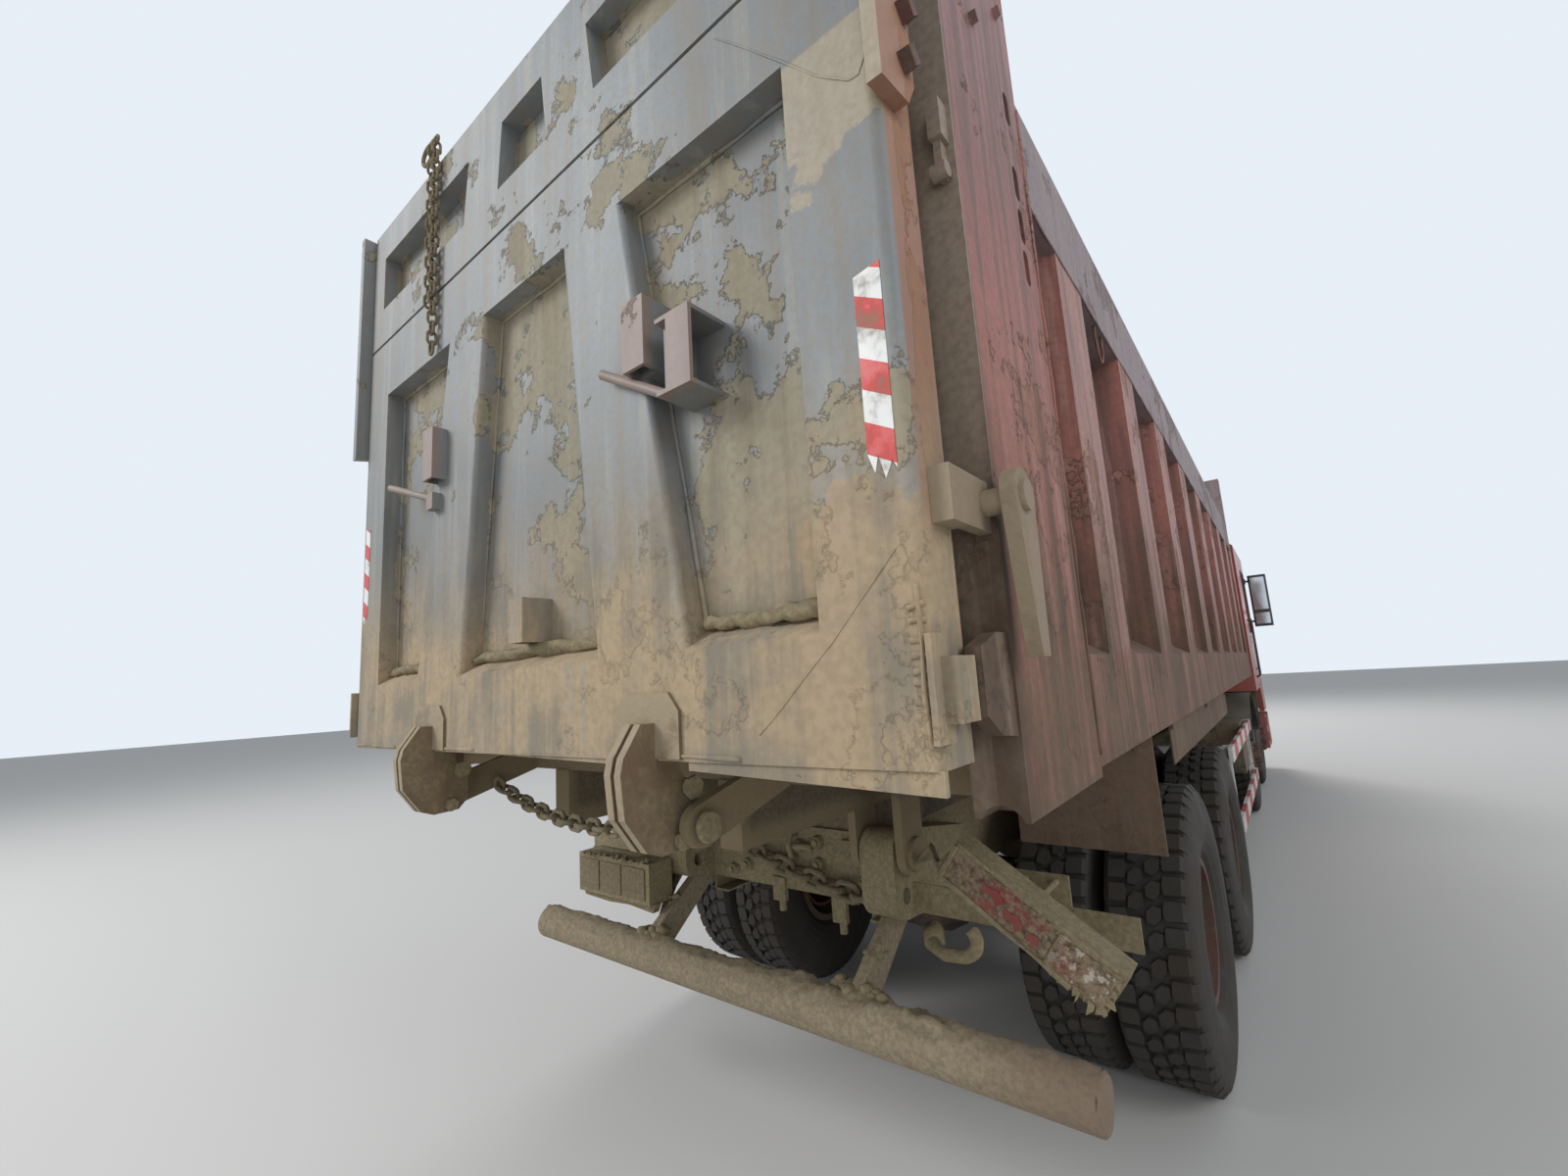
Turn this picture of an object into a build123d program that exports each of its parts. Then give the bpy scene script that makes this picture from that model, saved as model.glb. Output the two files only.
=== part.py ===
"""Eight by four dump truck: chassis, tilting cab, tipping load bed, top hung tailgate and telescopic lift.

Frame: +X is the truck's right, +Y is forward, +Z is up, in millimetres. Z = 0 is the ground.
Places along the truck are stations: distances forward of the rear face of the load bed's posts.
"""

import os
from math import asin, atan2, cos, hypot, radians, sin, tan

from build123d import *

os.makedirs("parts", exist_ok=True)

# Overall length: the bumper's face and the tailgate's furthest rear fitting set the middle of the truck
front_station = 10900
rear_reach = 325
bed_rear = -(front_station - rear_reach) / 2

# Small clearances
seat_gap = 0.3
panel_gap = 8
pin_clearance = 0.1
tube_clearance = 1

# Axles
axle_1_station = 9350
axle_2_station = 7500
axle_3_station = 3450
axle_4_station = 2050
wheel_centre_z = 562.5

# Tyres and rims
tyre_radius = 562.5
tyre_width = 313
tyre_shoulder = 122
tyre_shoulder_drop = 26
tyre_bead_width = 214
bead_radius = 254
rim_wall = 11
rim_flange = 10
rim_flange_height = 20
disc_thickness = 12
disc_hub_radius = 170
disc_offset = 165
hub_radius = 88
drum_radius = 205
drum_wall = 15
hand_hole_count = 8
hand_hole_radius = 26

# Single steered wheels
single_wheel_x = 1018
kingpin_x = 860
kingpin_radius = 20
kingpin_boss_radius = 45
spindle_radius = 35

# Twin driven wheels
twin_centre_x = 930
drive_spindle_radius = 45

# Chassis frame
rail_outer_x = 425
rail_flange = 80
rail_web = 8
rail_bottom_z = 800
rail_height = 300
rail_rear_station = 890
rail_front_station = 10600
sub_frame_height = 120
sub_frame_front_station = 8780
cross_member_height = 190
cross_member_flange = 70
cross_member_stations = [1400, 2750, 4300, 5400, 6600, 8100, 10450]
end_plate_thickness = 14
end_plate_bottom_z = 860

# Bed hinge at the rear of the frame
bed_pin_station = 800
bed_pin_z = 1080
bed_pin_radius = 36
bed_pin_head_radius = 52
bracket_thickness = 125
bracket_boss_radius = 72
bracket_hole_z = 943
bracket_hole_radius = 26
bracket_front_station = 1270
ear_thickness = 30
ear_gap = 10
ear_radius = 68

# Rear underrun pipe
underrun_station = 560
underrun_z = 650
underrun_radius = 65
underrun_half_length = 1160
underrun_arm_x = 470
underrun_arm_width = 40

# Load bed
bed_length = 8000
bed_half_width = 1250
bed_wall_inner_x = 1150
bed_sheet = 8
bed_side_bottom_z = 1412
bed_ledge_z = 1675
bed_ledge_rise = 60
bed_rail_bottom_z = 2875
bed_top_z = 3190
bed_floor_z = 1560
bed_floor_sheet = 12
bed_beam_half_gap = 360
bed_beam_width = 80
bed_cross_beam_width = 90
bed_cross_beam_pitch = 600
first_rib_station = 920
rib_pitch = 888
rib_count = 8
rib_face = 300
rib_base = 340
post_depth = 522
post_plate = 15
post_slot_station = 432
post_slot_z = (2645, 2762, 2885, 3105)
headboard_thickness = 90
headboard_top_z = 3760

# Tailgate
gate_half_width = 1205
gate_face_reach = 227
gate_recess = 65
gate_inner_reach = 12
gate_bottom_z = 1505
gate_groove_drop = 537
gate_groove = 12
gate_top_z = 3640
gate_pivot_drop = 35
gate_window_drop = (370, 140)
gate_arm_bottom_z = 2650
gate_pivot_reach = 110
gate_pin_radius = 20
gate_flank_x = 1166
gate_flank_reach = 106
column_inner_x = 1000
upper_beam_height = 770
lower_beam_top_z = 1732
lower_beam_slope = 40

# Lift cylinder
lift_station = 8560
lift_pivot_z = 1300
lift_eye_z = 2450
lift_base_z = 950
lift_tube_top_z = 2250
lift_tube_radius = 105
lift_tube_wall = 9
lift_stage_step = 13
lift_stage_count = 5
lift_collar = 28
lift_cheek_inner_x = 115
trunnion_radius = 34

# Cab
cab_half_width = 1245
cab_wall = 60
cab_rear_station = 8780
cab_front_station_low = 10800
cab_front_station_high = 10640
cab_waist_z = 1930
cab_floor_z = 1200
cab_skirt_z = 860
cab_roof_z = 3070
cab_roof_rise = 80
cab_front_wall = 50
cab_pivot_station = 10660
cab_pivot_z = 860
cab_pivot_x = 475
cab_pivot_radius = 20
door_front_station = 10500
door_rear_station = 9590
door_bottom_z = 1225
door_top_z = 2900
door_sill_z = 1960
glass_thickness = 8


def at(station):
    """Y of a station, which is measured forward of the bed's rear posts."""
    return bed_rear + station


def side_plane(x):
    """Plane of (y, z) profiles at x, extruded to the right."""
    return Plane.YZ.offset(x)


def cross_plane(y):
    """Plane of (x, z) profiles at y, extruded to the rear."""
    return Plane.XZ.offset(-y)


def block(x, y, z, mode=Mode.ADD):
    """Add or cut a block between its limits along each axis."""
    middle = ((x[0] + x[1]) / 2, (y[0] + y[1]) / 2, (z[0] + z[1]) / 2)
    with Locations(middle):
        Box(x[1] - x[0], y[1] - y[0], z[1] - z[0], mode=mode)


def bar_along_x(x, y, z, radius, mode=Mode.ADD):
    """Add or cut a round bar between two x limits."""
    with BuildSketch(side_plane(x[0])) as outline:
        with Locations((y, z)):
            Circle(radius)
    extrude(outline.sketch, amount=x[1] - x[0], mode=mode)


def slab_yz(x, points, mode=Mode.ADD):
    """Add or cut a plate with an outline of (y, z) points between two x limits."""
    with BuildSketch(side_plane(x[0])) as outline:
        Polygon(*points, align=None)
    extrude(outline.sketch, amount=x[1] - x[0], mode=mode)


def slab_xz(y, points, mode=Mode.ADD):
    """Add or cut a plate with an outline of (x, z) points between two y limits."""
    with BuildSketch(cross_plane(y[1])) as outline:
        Polygon(*points, align=None)
    extrude(outline.sketch, amount=y[1] - y[0], mode=mode)


def rod(start, end, radius, mode=Mode.ADD):
    """Add or cut a round rod between two points."""
    along = Vector(*end) - Vector(*start)
    with BuildSketch(Plane(origin=start, z_dir=along)) as outline:
        Circle(radius)
    extrude(outline.sketch, amount=along.length, mode=mode)


def write(part, name):
    part.label = name
    export_step(part, f"parts/{name}.step")


def write_pair(part, name):
    """Write a right-hand piece and its mirror image."""
    write(part, name + "_right")
    write(mirror(part, about=Plane.YZ), name + "_left")


# Derived places
post_top_z = gate_top_z
gate_pivot_z = gate_top_z - gate_pivot_drop
gate_groove_z = gate_top_z - gate_groove_drop
upper_beam_bottom_z = gate_top_z - upper_beam_height
rail_inner_x = rail_outer_x - rail_flange
rail_top_z = rail_bottom_z + rail_height
sub_frame_top_z = rail_top_z + sub_frame_height
bed_beam_bottom_z = sub_frame_top_z + seat_gap
bed_cross_bottom_z = bed_side_bottom_z - 12
bed_floor_bottom_z = bed_floor_z - bed_floor_sheet
bracket_outer_x = rail_outer_x + bracket_thickness
ear_inner_x = (rail_outer_x - ear_gap - ear_thickness, rail_outer_x - ear_gap)
ear_outer_x = (bracket_outer_x + ear_gap, bracket_outer_x + ear_gap + ear_thickness)
cross_member_middle_z = rail_bottom_z + rail_height / 2
rail_web_x = rail_outer_x - rail_web

# Chassis rails, cross members, bed hinge brackets and cab mounts
with BuildPart() as chassis_frame:
    with BuildSketch(cross_plane(at(rail_front_station))):
        Polygon(
            (rail_outer_x, rail_bottom_z),
            (rail_outer_x, rail_top_z),
            (rail_inner_x, rail_top_z),
            (rail_inner_x, rail_top_z - rail_web),
            (rail_web_x, rail_top_z - rail_web),
            (rail_web_x, rail_bottom_z + rail_web),
            (rail_inner_x, rail_bottom_z + rail_web),
            (rail_inner_x, rail_bottom_z),
            align=None,
        )
    extrude(amount=rail_front_station - rail_rear_station)
    with BuildSketch(side_plane(rail_outer_x)):
        with Locations((at(bed_pin_station), bed_pin_z)):
            Circle(bracket_boss_radius)
        with Locations((at(bed_pin_station), bracket_hole_z)):
            Circle(bracket_boss_radius)
        with Locations((at(bracket_front_station), (rail_bottom_z + rail_top_z) / 2)):
            Rectangle(40, rail_height - 60)
        make_hull()
    extrude(amount=bracket_thickness)
    bar_along_x((rail_outer_x - 1, bracket_outer_x + 1), at(bed_pin_station), bed_pin_z,
                bed_pin_radius + pin_clearance, mode=Mode.SUBTRACT)
    bar_along_x((rail_outer_x - 1, bracket_outer_x + 1), at(bed_pin_station), bracket_hole_z,
                bracket_hole_radius, mode=Mode.SUBTRACT)
    # Cab pivot clevis ahead of the rail
    clevis_rear = at(rail_front_station) - 100
    for cheek in ((rail_outer_x, cab_pivot_x - 30), (cab_pivot_x + 30, cab_pivot_x + 50)):
        slab_yz(cheek, [
            (clevis_rear, rail_bottom_z),
            (at(cab_pivot_station) + 20, cab_pivot_z - 45),
            (at(cab_pivot_station) + 40, cab_pivot_z),
            (at(cab_pivot_station) + 20, cab_pivot_z + 40),
            (clevis_rear, rail_bottom_z + 180),
        ])
    block((rail_outer_x, cab_pivot_x + 50), (clevis_rear, clevis_rear + 20),
          (rail_bottom_z, rail_bottom_z + 180))
    bar_along_x((rail_outer_x, cab_pivot_x + 50), at(cab_pivot_station), cab_pivot_z, cab_pivot_radius)
    # Bumper carrier below the rail's front end
    block((rail_inner_x, rail_outer_x), (at(rail_front_station) - 160, at(rail_front_station)),
          (640, rail_bottom_z))
    block((rail_inner_x, rail_outer_x), (at(rail_front_station) - 160, at(front_station) - 70), (520, 640))
    mirror(about=Plane.YZ)
    for station in cross_member_stations:
        middle_y = at(station)
        half = cross_member_height / 2
        slab_yz((-rail_web_x, rail_web_x), [
            (middle_y - cross_member_flange / 2, cross_member_middle_z - half),
            (middle_y + cross_member_flange / 2, cross_member_middle_z - half),
            (middle_y + cross_member_flange / 2, cross_member_middle_z - half + rail_web),
            (middle_y - cross_member_flange / 2 + rail_web, cross_member_middle_z - half + rail_web),
            (middle_y - cross_member_flange / 2 + rail_web, cross_member_middle_z + half - rail_web),
            (middle_y + cross_member_flange / 2, cross_member_middle_z + half - rail_web),
            (middle_y + cross_member_flange / 2, cross_member_middle_z + half),
            (middle_y - cross_member_flange / 2, cross_member_middle_z + half),
        ])
    block((-rail_web_x, rail_web_x), (at(rail_rear_station), at(rail_rear_station) + end_plate_thickness),
          (end_plate_bottom_z, rail_top_z))
write(chassis_frame.part, "chassis_frame")

# Sub frame on the rails, with the lift's trunnion blocks
with BuildPart() as sub_frame:
    block((rail_inner_x, rail_outer_x), (at(rail_rear_station), at(sub_frame_front_station)),
          (rail_top_z, sub_frame_top_z))
    slab_yz((rail_inner_x, rail_outer_x), [
        (at(lift_station) - 120, sub_frame_top_z),
        (at(lift_station) + 120, sub_frame_top_z),
        (at(lift_station) + 60, lift_pivot_z + 60),
        (at(lift_station) - 60, lift_pivot_z + 60),
    ])
    bar_along_x((rail_inner_x - 1, rail_outer_x + 1), at(lift_station), lift_pivot_z,
                trunnion_radius + pin_clearance, mode=Mode.SUBTRACT)
    mirror(about=Plane.YZ)
    for station in (rail_rear_station + 7, 2750, 4850, 7000, 8280):
        block((-rail_inner_x, rail_inner_x), (at(station) - 7, at(station) + 33),
              (rail_top_z + 10, sub_frame_top_z - 10))
write(sub_frame.part, "sub_frame")

# Underrun pipe on two sloping arms that end against the hinge brackets' undersides
bracket_run = bracket_front_station - 20 - bed_pin_station
bracket_drop = bracket_hole_z - rail_bottom_z - 30
bracket_angle = (asin(bracket_boss_radius / hypot(bracket_run, bracket_drop))
                 - atan2(bracket_drop, bracket_run))


def under_bracket_z(station):
    """Height just below the hinge bracket's lower edge at a station ahead of the pin."""
    edge_z = bracket_hole_z - bracket_boss_radius / cos(bracket_angle)
    return edge_z + (station - bed_pin_station) * tan(bracket_angle) - seat_gap


with BuildPart() as underrun_bar:
    bar_along_x((-underrun_half_length, underrun_half_length), at(underrun_station), underrun_z,
                underrun_radius)
    chamfer(underrun_bar.edges().filter_by(GeomType.CIRCLE), 6)
    for side in (-1, 1):
        middle = side * underrun_arm_x
        slab_yz((middle - underrun_arm_width / 2, middle + underrun_arm_width / 2), [
            (at(bed_pin_station), under_bracket_z(bed_pin_station)),
            (at(bed_pin_station) + 130, under_bracket_z(bed_pin_station + 130)),
            (at(underrun_station) + 70, underrun_z - 20),
            (at(underrun_station), underrun_z),
            (at(underrun_station) - 20, underrun_z + 50),
        ])
write(underrun_bar.part, "underrun_bar")

# Leaf springs, their hangers and the tandem's trunnion
spring_width = 90
front_spring_x = (rail_outer_x + rail_inner_x) / 2 + 15
front_spring_half = 750
front_spring_end_z = rail_bottom_z - 58
beam_pad_z = wheel_centre_z - 42
drive_spring_x = (rail_outer_x + 20, rail_outer_x + 120)
drive_pad_z = wheel_centre_z + 138
drive_leaf = 18
drive_leaf_count = 9
drive_leaf_step = 70
tandem_station = (axle_3_station + axle_4_station) / 2
drive_spring_half = (axle_3_station - axle_4_station) / 2 + 50
trunnion_tube_z = 500


def leaf_pack(x, middle_station, half, end_z, end_thickness, bottom_z, top_z):
    """Add a bowed leaf pack, thick in the middle and thin at the ends."""
    middle_y = at(middle_station)
    with BuildSketch(side_plane(x[0])) as outline:
        with BuildLine():
            ThreePointArc((middle_y - half, end_z), (middle_y, bottom_z), (middle_y + half, end_z))
            Line((middle_y + half, end_z), (middle_y + half, end_z + end_thickness))
            ThreePointArc((middle_y + half, end_z + end_thickness), (middle_y, top_z),
                          (middle_y - half, end_z + end_thickness))
            Line((middle_y - half, end_z + end_thickness), (middle_y - half, end_z))
        make_face()
    extrude(outline.sketch, amount=x[1] - x[0])


with BuildPart() as leaf_springs:
    front_pack_x = (front_spring_x - spring_width / 2, front_spring_x + spring_width / 2)
    for station in (axle_1_station, axle_2_station):
        leaf_pack(front_pack_x, station, front_spring_half, front_spring_end_z, 16,
                  beam_pad_z + seat_gap, beam_pad_z + 92)
        for end in (-1, 1):
            hanger_y = at(station) + end * front_spring_half
            block(front_pack_x, (hanger_y - 40, hanger_y + 40), (front_spring_end_z, rail_bottom_z))
    for leaf in range(drive_leaf_count):
        leaf_half = drive_spring_half - leaf * drive_leaf_step
        leaf_z = drive_pad_z + seat_gap + leaf * drive_leaf
        block(drive_spring_x, (at(tandem_station) - leaf_half, at(tandem_station) + leaf_half),
              (leaf_z, leaf_z + drive_leaf))
    slab_yz(drive_spring_x, [
        (at(tandem_station) - 80, trunnion_tube_z - 70),
        (at(tandem_station) + 80, trunnion_tube_z - 70),
        (at(tandem_station) + 140, drive_pad_z + 20),
        (at(tandem_station) - 140, drive_pad_z + 20),
    ])
    slab_yz((rail_inner_x, rail_outer_x), [
        (at(tandem_station) - 70, trunnion_tube_z - 70),
        (at(tandem_station) + 70, trunnion_tube_z - 70),
        (at(tandem_station) + 190, rail_bottom_z),
        (at(tandem_station) - 190, rail_bottom_z),
    ])
    mirror(about=Plane.YZ)
    bar_along_x((-drive_spring_x[0] - 10, drive_spring_x[0] + 10), at(tandem_station), trunnion_tube_z, 52)
write(leaf_springs.part, "leaf_springs")

# Engine and gearbox limits
engine_rear_station = 9300
gearbox_rear_station = 8850

# Dropped beams of the two steered axles, with their kingpins
beam_depth = 90
with BuildPart() as steer_axles:
    for station in (axle_1_station, axle_2_station):
        half_beam = [(0, -160), (400, -160), (620, -55), (830, -55), (830, 55), (600, 55), (455, -42),
                     (0, -42)]
        outline = [(x, wheel_centre_z + z) for x, z in half_beam[1:-1]]
        mirrored = [(-x, z) for x, z in reversed(outline)]
        slab_xz((at(station) - beam_depth / 2, at(station) + beam_depth / 2), outline + mirrored)
        for side in (-1, 1):
            with Locations((side * kingpin_x, at(station), wheel_centre_z)):
                Cylinder(kingpin_boss_radius, 110)
                Cylinder(kingpin_radius, 230)
write(steer_axles.part, "steer_axles")

# Driven axle housings and the shafts that drive them
with BuildPart() as drive_axles:
    for station in (axle_3_station, axle_4_station):
        with BuildSketch(Plane.XY.offset(wheel_centre_z)):
            with Locations((0, at(station))):
                Polygon((0, 0), (0, 205), (110, 198), (190, 150), (260, 76), (600, 72), (600, 98), (624, 98),
                        (624, drive_spindle_radius), (1068, drive_spindle_radius), (1068, 0), align=None)
        revolve(axis=Axis((0, at(station), wheel_centre_z), (1, 0, 0)))
        block(drive_spring_x, (at(station) - 60, at(station) + 60), (wheel_centre_z + 30, drive_pad_z))
    mirror(about=Plane.YZ)
    for station in (axle_3_station, axle_4_station):
        rod((0, at(station), wheel_centre_z), (0, at(station) + 330, wheel_centre_z + 30), 105)
    rod((0, at(axle_4_station) + 320, wheel_centre_z + 70),
        (0, at(axle_3_station) - 120, wheel_centre_z + 60), 42)
    rod((0, at(axle_3_station) + 320, wheel_centre_z + 30), (0, at(5400), 730), 48)
    rod((0, at(5400), 730), (0, at(gearbox_rear_station) - 6, 800), 48)
    block((-60, 60), (at(5400) - 30, at(5400) + 30), (730, cross_member_middle_z - cross_member_height / 2))
write(drive_axles.part, "drive_axles")


def revolved_about_x(points):
    """Solid of revolution about the X axis from (x, radius) points."""
    with BuildPart() as turned:
        with BuildSketch():
            Polygon(*points, align=None)
        revolve(axis=Axis.X)
    return turned.part


def tyre_at(x):
    """One tyre about the X axis, centred at x."""
    with BuildPart() as tyre:
        with BuildSketch():
            with BuildLine():
                bead = (tyre_bead_width / 2, bead_radius + seat_gap)
                lip = (tyre_bead_width / 2, bead_radius + rim_flange_height + 1)
                widest = (tyre_width / 2, bead_radius + 0.46 * (tyre_radius - bead_radius))
                shoulder = (tyre_shoulder + 14, tyre_radius - tyre_shoulder_drop)
                edge = (tyre_shoulder, tyre_radius)
                Line((x + bead[0], bead[1]), (x + lip[0], lip[1]))
                ThreePointArc((x + lip[0], lip[1]), (x + widest[0], widest[1]),
                              (x + shoulder[0], shoulder[1]))
                Polyline((x + shoulder[0], shoulder[1]), (x + edge[0], edge[1]), (x - edge[0], edge[1]),
                         (x - shoulder[0], shoulder[1]))
                ThreePointArc((x - shoulder[0], shoulder[1]), (x - widest[0], widest[1]),
                              (x - lip[0], lip[1]))
                Polyline((x - lip[0], lip[1]), (x - bead[0], bead[1]), (x + bead[0], bead[1]))
            make_face()
        revolve(axis=Axis.X)
    return tyre.part


def rim_points(x):
    """Section of a rim barrel with its flanges, centred at x."""
    inner = tyre_bead_width / 2 + seat_gap
    outer = inner + rim_flange
    lip = bead_radius + rim_flange_height
    return [(x - outer, lip), (x - inner, lip), (x - inner, bead_radius), (x + inner, bead_radius),
            (x + inner, lip), (x + outer, lip), (x + outer, bead_radius - rim_wall),
            (x - outer, bead_radius - rim_wall)]


def disc_points(mounting_x, towards):
    """Section of a wheel disc from its mounting face at mounting_x to the rim barrel."""
    step = towards * disc_thickness
    joint_x = mounting_x + towards * 85
    rim_inner = bead_radius - rim_wall + 1
    return [(mounting_x, hub_radius - 1), (mounting_x, disc_hub_radius), (joint_x, rim_inner),
            (joint_x + step, rim_inner), (mounting_x + step, disc_hub_radius),
            (mounting_x + step, hub_radius - 1)]


def cut_hand_holes(x):
    """Cut the ring of hand holes through the discs between two x limits."""
    with BuildSketch(side_plane(x[0])) as holes:
        with PolarLocations((disc_hub_radius + bead_radius - rim_wall) / 2, hand_hole_count):
            Circle(hand_hole_radius)
    extrude(holes.sketch, amount=x[1] - x[0], mode=Mode.SUBTRACT)


single_mounting_x = single_wheel_x + disc_offset
single_bore = spindle_radius + pin_clearance
with BuildPart() as single_rim:
    add(revolved_about_x(rim_points(single_wheel_x)))
    add(revolved_about_x(disc_points(single_mounting_x, -1)))
    add(revolved_about_x([
        (965, single_bore), (965, 72), (1028, 72), (1028, drum_radius - drum_wall),
        (908, drum_radius - drum_wall),
        (908, drum_radius), (1040, drum_radius), (1040, hub_radius),
        (single_mounting_x - 2 * disc_thickness, hub_radius),
        (single_mounting_x - 2 * disc_thickness, disc_hub_radius),
        (single_mounting_x - disc_thickness, disc_hub_radius),
        (single_mounting_x - disc_thickness, hub_radius),
        (single_mounting_x + 46, 72), (single_mounting_x + 46, 0), (single_mounting_x + 20, 0),
        (single_mounting_x + 20, single_bore),
    ]))
    cut_hand_holes((single_mounting_x - 110, single_mounting_x + 1))

twin_bore = drive_spindle_radius + pin_clearance
twin_inner_x = twin_centre_x - disc_offset
twin_outer_x = twin_centre_x + disc_offset
with BuildPart() as twin_rims:
    add(revolved_about_x(rim_points(twin_inner_x)))
    add(revolved_about_x(rim_points(twin_outer_x)))
    add(revolved_about_x(disc_points(twin_centre_x, -1)))
    add(revolved_about_x(disc_points(twin_centre_x, 1)))
    add(revolved_about_x([
        (640, twin_bore), (640, 75), (862, 75), (862, drum_radius - drum_wall),
        (690, drum_radius - drum_wall),
        (690, drum_radius), (874, drum_radius), (874, hub_radius),
        (twin_centre_x - 2 * disc_thickness, hub_radius),
        (twin_centre_x - 2 * disc_thickness, disc_hub_radius),
        (twin_centre_x - disc_thickness, disc_hub_radius), (twin_centre_x - disc_thickness, hub_radius),
        (1115, 70), (1115, 0), (1085, 0), (1085, twin_bore),
    ]))
    cut_hand_holes((twin_centre_x - 110, twin_centre_x + 110))

# Steering knuckle: yoke round the kingpin, then the wheel's spindle
with BuildPart() as knuckle:
    with BuildSketch(Plane.XY.offset(62)):
        with Locations((kingpin_x, 0)):
            Circle(kingpin_boss_radius)
        with Locations((945, 0)):
            Rectangle(20, 120)
        make_hull()
    extrude(amount=42)
    mirror(about=Plane.XY)
    block((932, 958), (-70, 70), (-104, 104))
    with Locations((kingpin_x, 0, 0)):
        Cylinder(kingpin_radius + pin_clearance, 240, mode=Mode.SUBTRACT)
    bar_along_x((957, 962), 0, 0, 70)
    bar_along_x((962, single_mounting_x + 12), 0, 0, spindle_radius)
    block((868, 903), (-200, -30), (-100, -74))

steered_wheels = [(1, axle_1_station), (2, axle_2_station)]
driven_wheels = [(3, axle_3_station), (4, axle_4_station)]
for number, station in steered_wheels:
    place = Pos(0, at(station), wheel_centre_z)
    write_pair(place * knuckle.part, f"knuckle_{number}")
    write_pair(place * tyre_at(single_wheel_x), f"tyre_{number}")
    write_pair(place * single_rim.part, f"rim_{number}")
for number, station in driven_wheels:
    place = Pos(0, at(station), wheel_centre_z)
    twin_tyres = Compound(children=[place * tyre_at(twin_inner_x), place * tyre_at(twin_outer_x)])
    write_pair(twin_tyres, f"twin_tyres_{number}")
    write_pair(place * twin_rims.part, f"twin_rims_{number}")

# Tipping lift: trunnion mounted base tube and nested stages
def tube_z(centre, z, outer, inner):
    """Add a vertical tube, or a solid round when inner is 0."""
    with BuildSketch(Plane.XY.offset(z[0])) as ring:
        with Locations(centre):
            Circle(outer)
            if inner:
                Circle(inner, mode=Mode.SUBTRACT)
    extrude(ring.sketch, amount=z[1] - z[0])


lift_axis = (0, at(lift_station))
lift_inner_radius = lift_tube_radius - lift_tube_wall
with BuildPart() as lift_base:
    tube_z(lift_axis, (lift_base_z, lift_tube_top_z), lift_tube_radius, lift_inner_radius)
    tube_z(lift_axis, (lift_tube_top_z - 60, lift_tube_top_z), lift_tube_radius + 8, lift_inner_radius)
    tube_z(lift_axis, (lift_base_z, lift_base_z + 20), lift_tube_radius, 0)
    tube_z(lift_axis, (lift_pivot_z - 60, lift_pivot_z + 60), lift_tube_radius + 30, lift_inner_radius)
    for side in (-1, 1):
        reach = sorted((side * (lift_tube_radius - 2), side * (rail_outer_x - 5)))
        bar_along_x(reach, at(lift_station), lift_pivot_z, trunnion_radius)
        collar = sorted((side * (lift_tube_radius - 2), side * (rail_inner_x - 6)))
        bar_along_x(collar, at(lift_station), lift_pivot_z, trunnion_radius + 22)
    tube_z(lift_axis, (lift_base_z + 20, lift_pivot_z + 61), lift_inner_radius, 0)
    with Locations((0, at(lift_station), (lift_base_z + 20 + lift_tube_top_z) / 2)):
        Cylinder(lift_inner_radius, lift_tube_top_z - lift_base_z - 20 + 1, mode=Mode.SUBTRACT)
write(lift_base.part, "lift_base")

for stage in range(1, lift_stage_count + 1):
    outer = lift_inner_radius - tube_clearance - (stage - 1) * lift_stage_step
    inner = outer - lift_stage_step + tube_clearance
    foot_z = lift_base_z + 20 + stage * 4
    top_z = lift_tube_top_z + stage * lift_collar
    with BuildPart() as lift_stage:
        if stage < lift_stage_count:
            tube_z(lift_axis, (foot_z, top_z), outer, inner)
        else:
            tube_z(lift_axis, (foot_z, lift_eye_z), outer, 0)
            bar_along_x((-lift_cheek_inner_x + 15, lift_cheek_inner_x - 15), at(lift_station), lift_eye_z,
                        45)
    write(lift_stage.part, f"lift_stage_{stage}")

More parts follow.
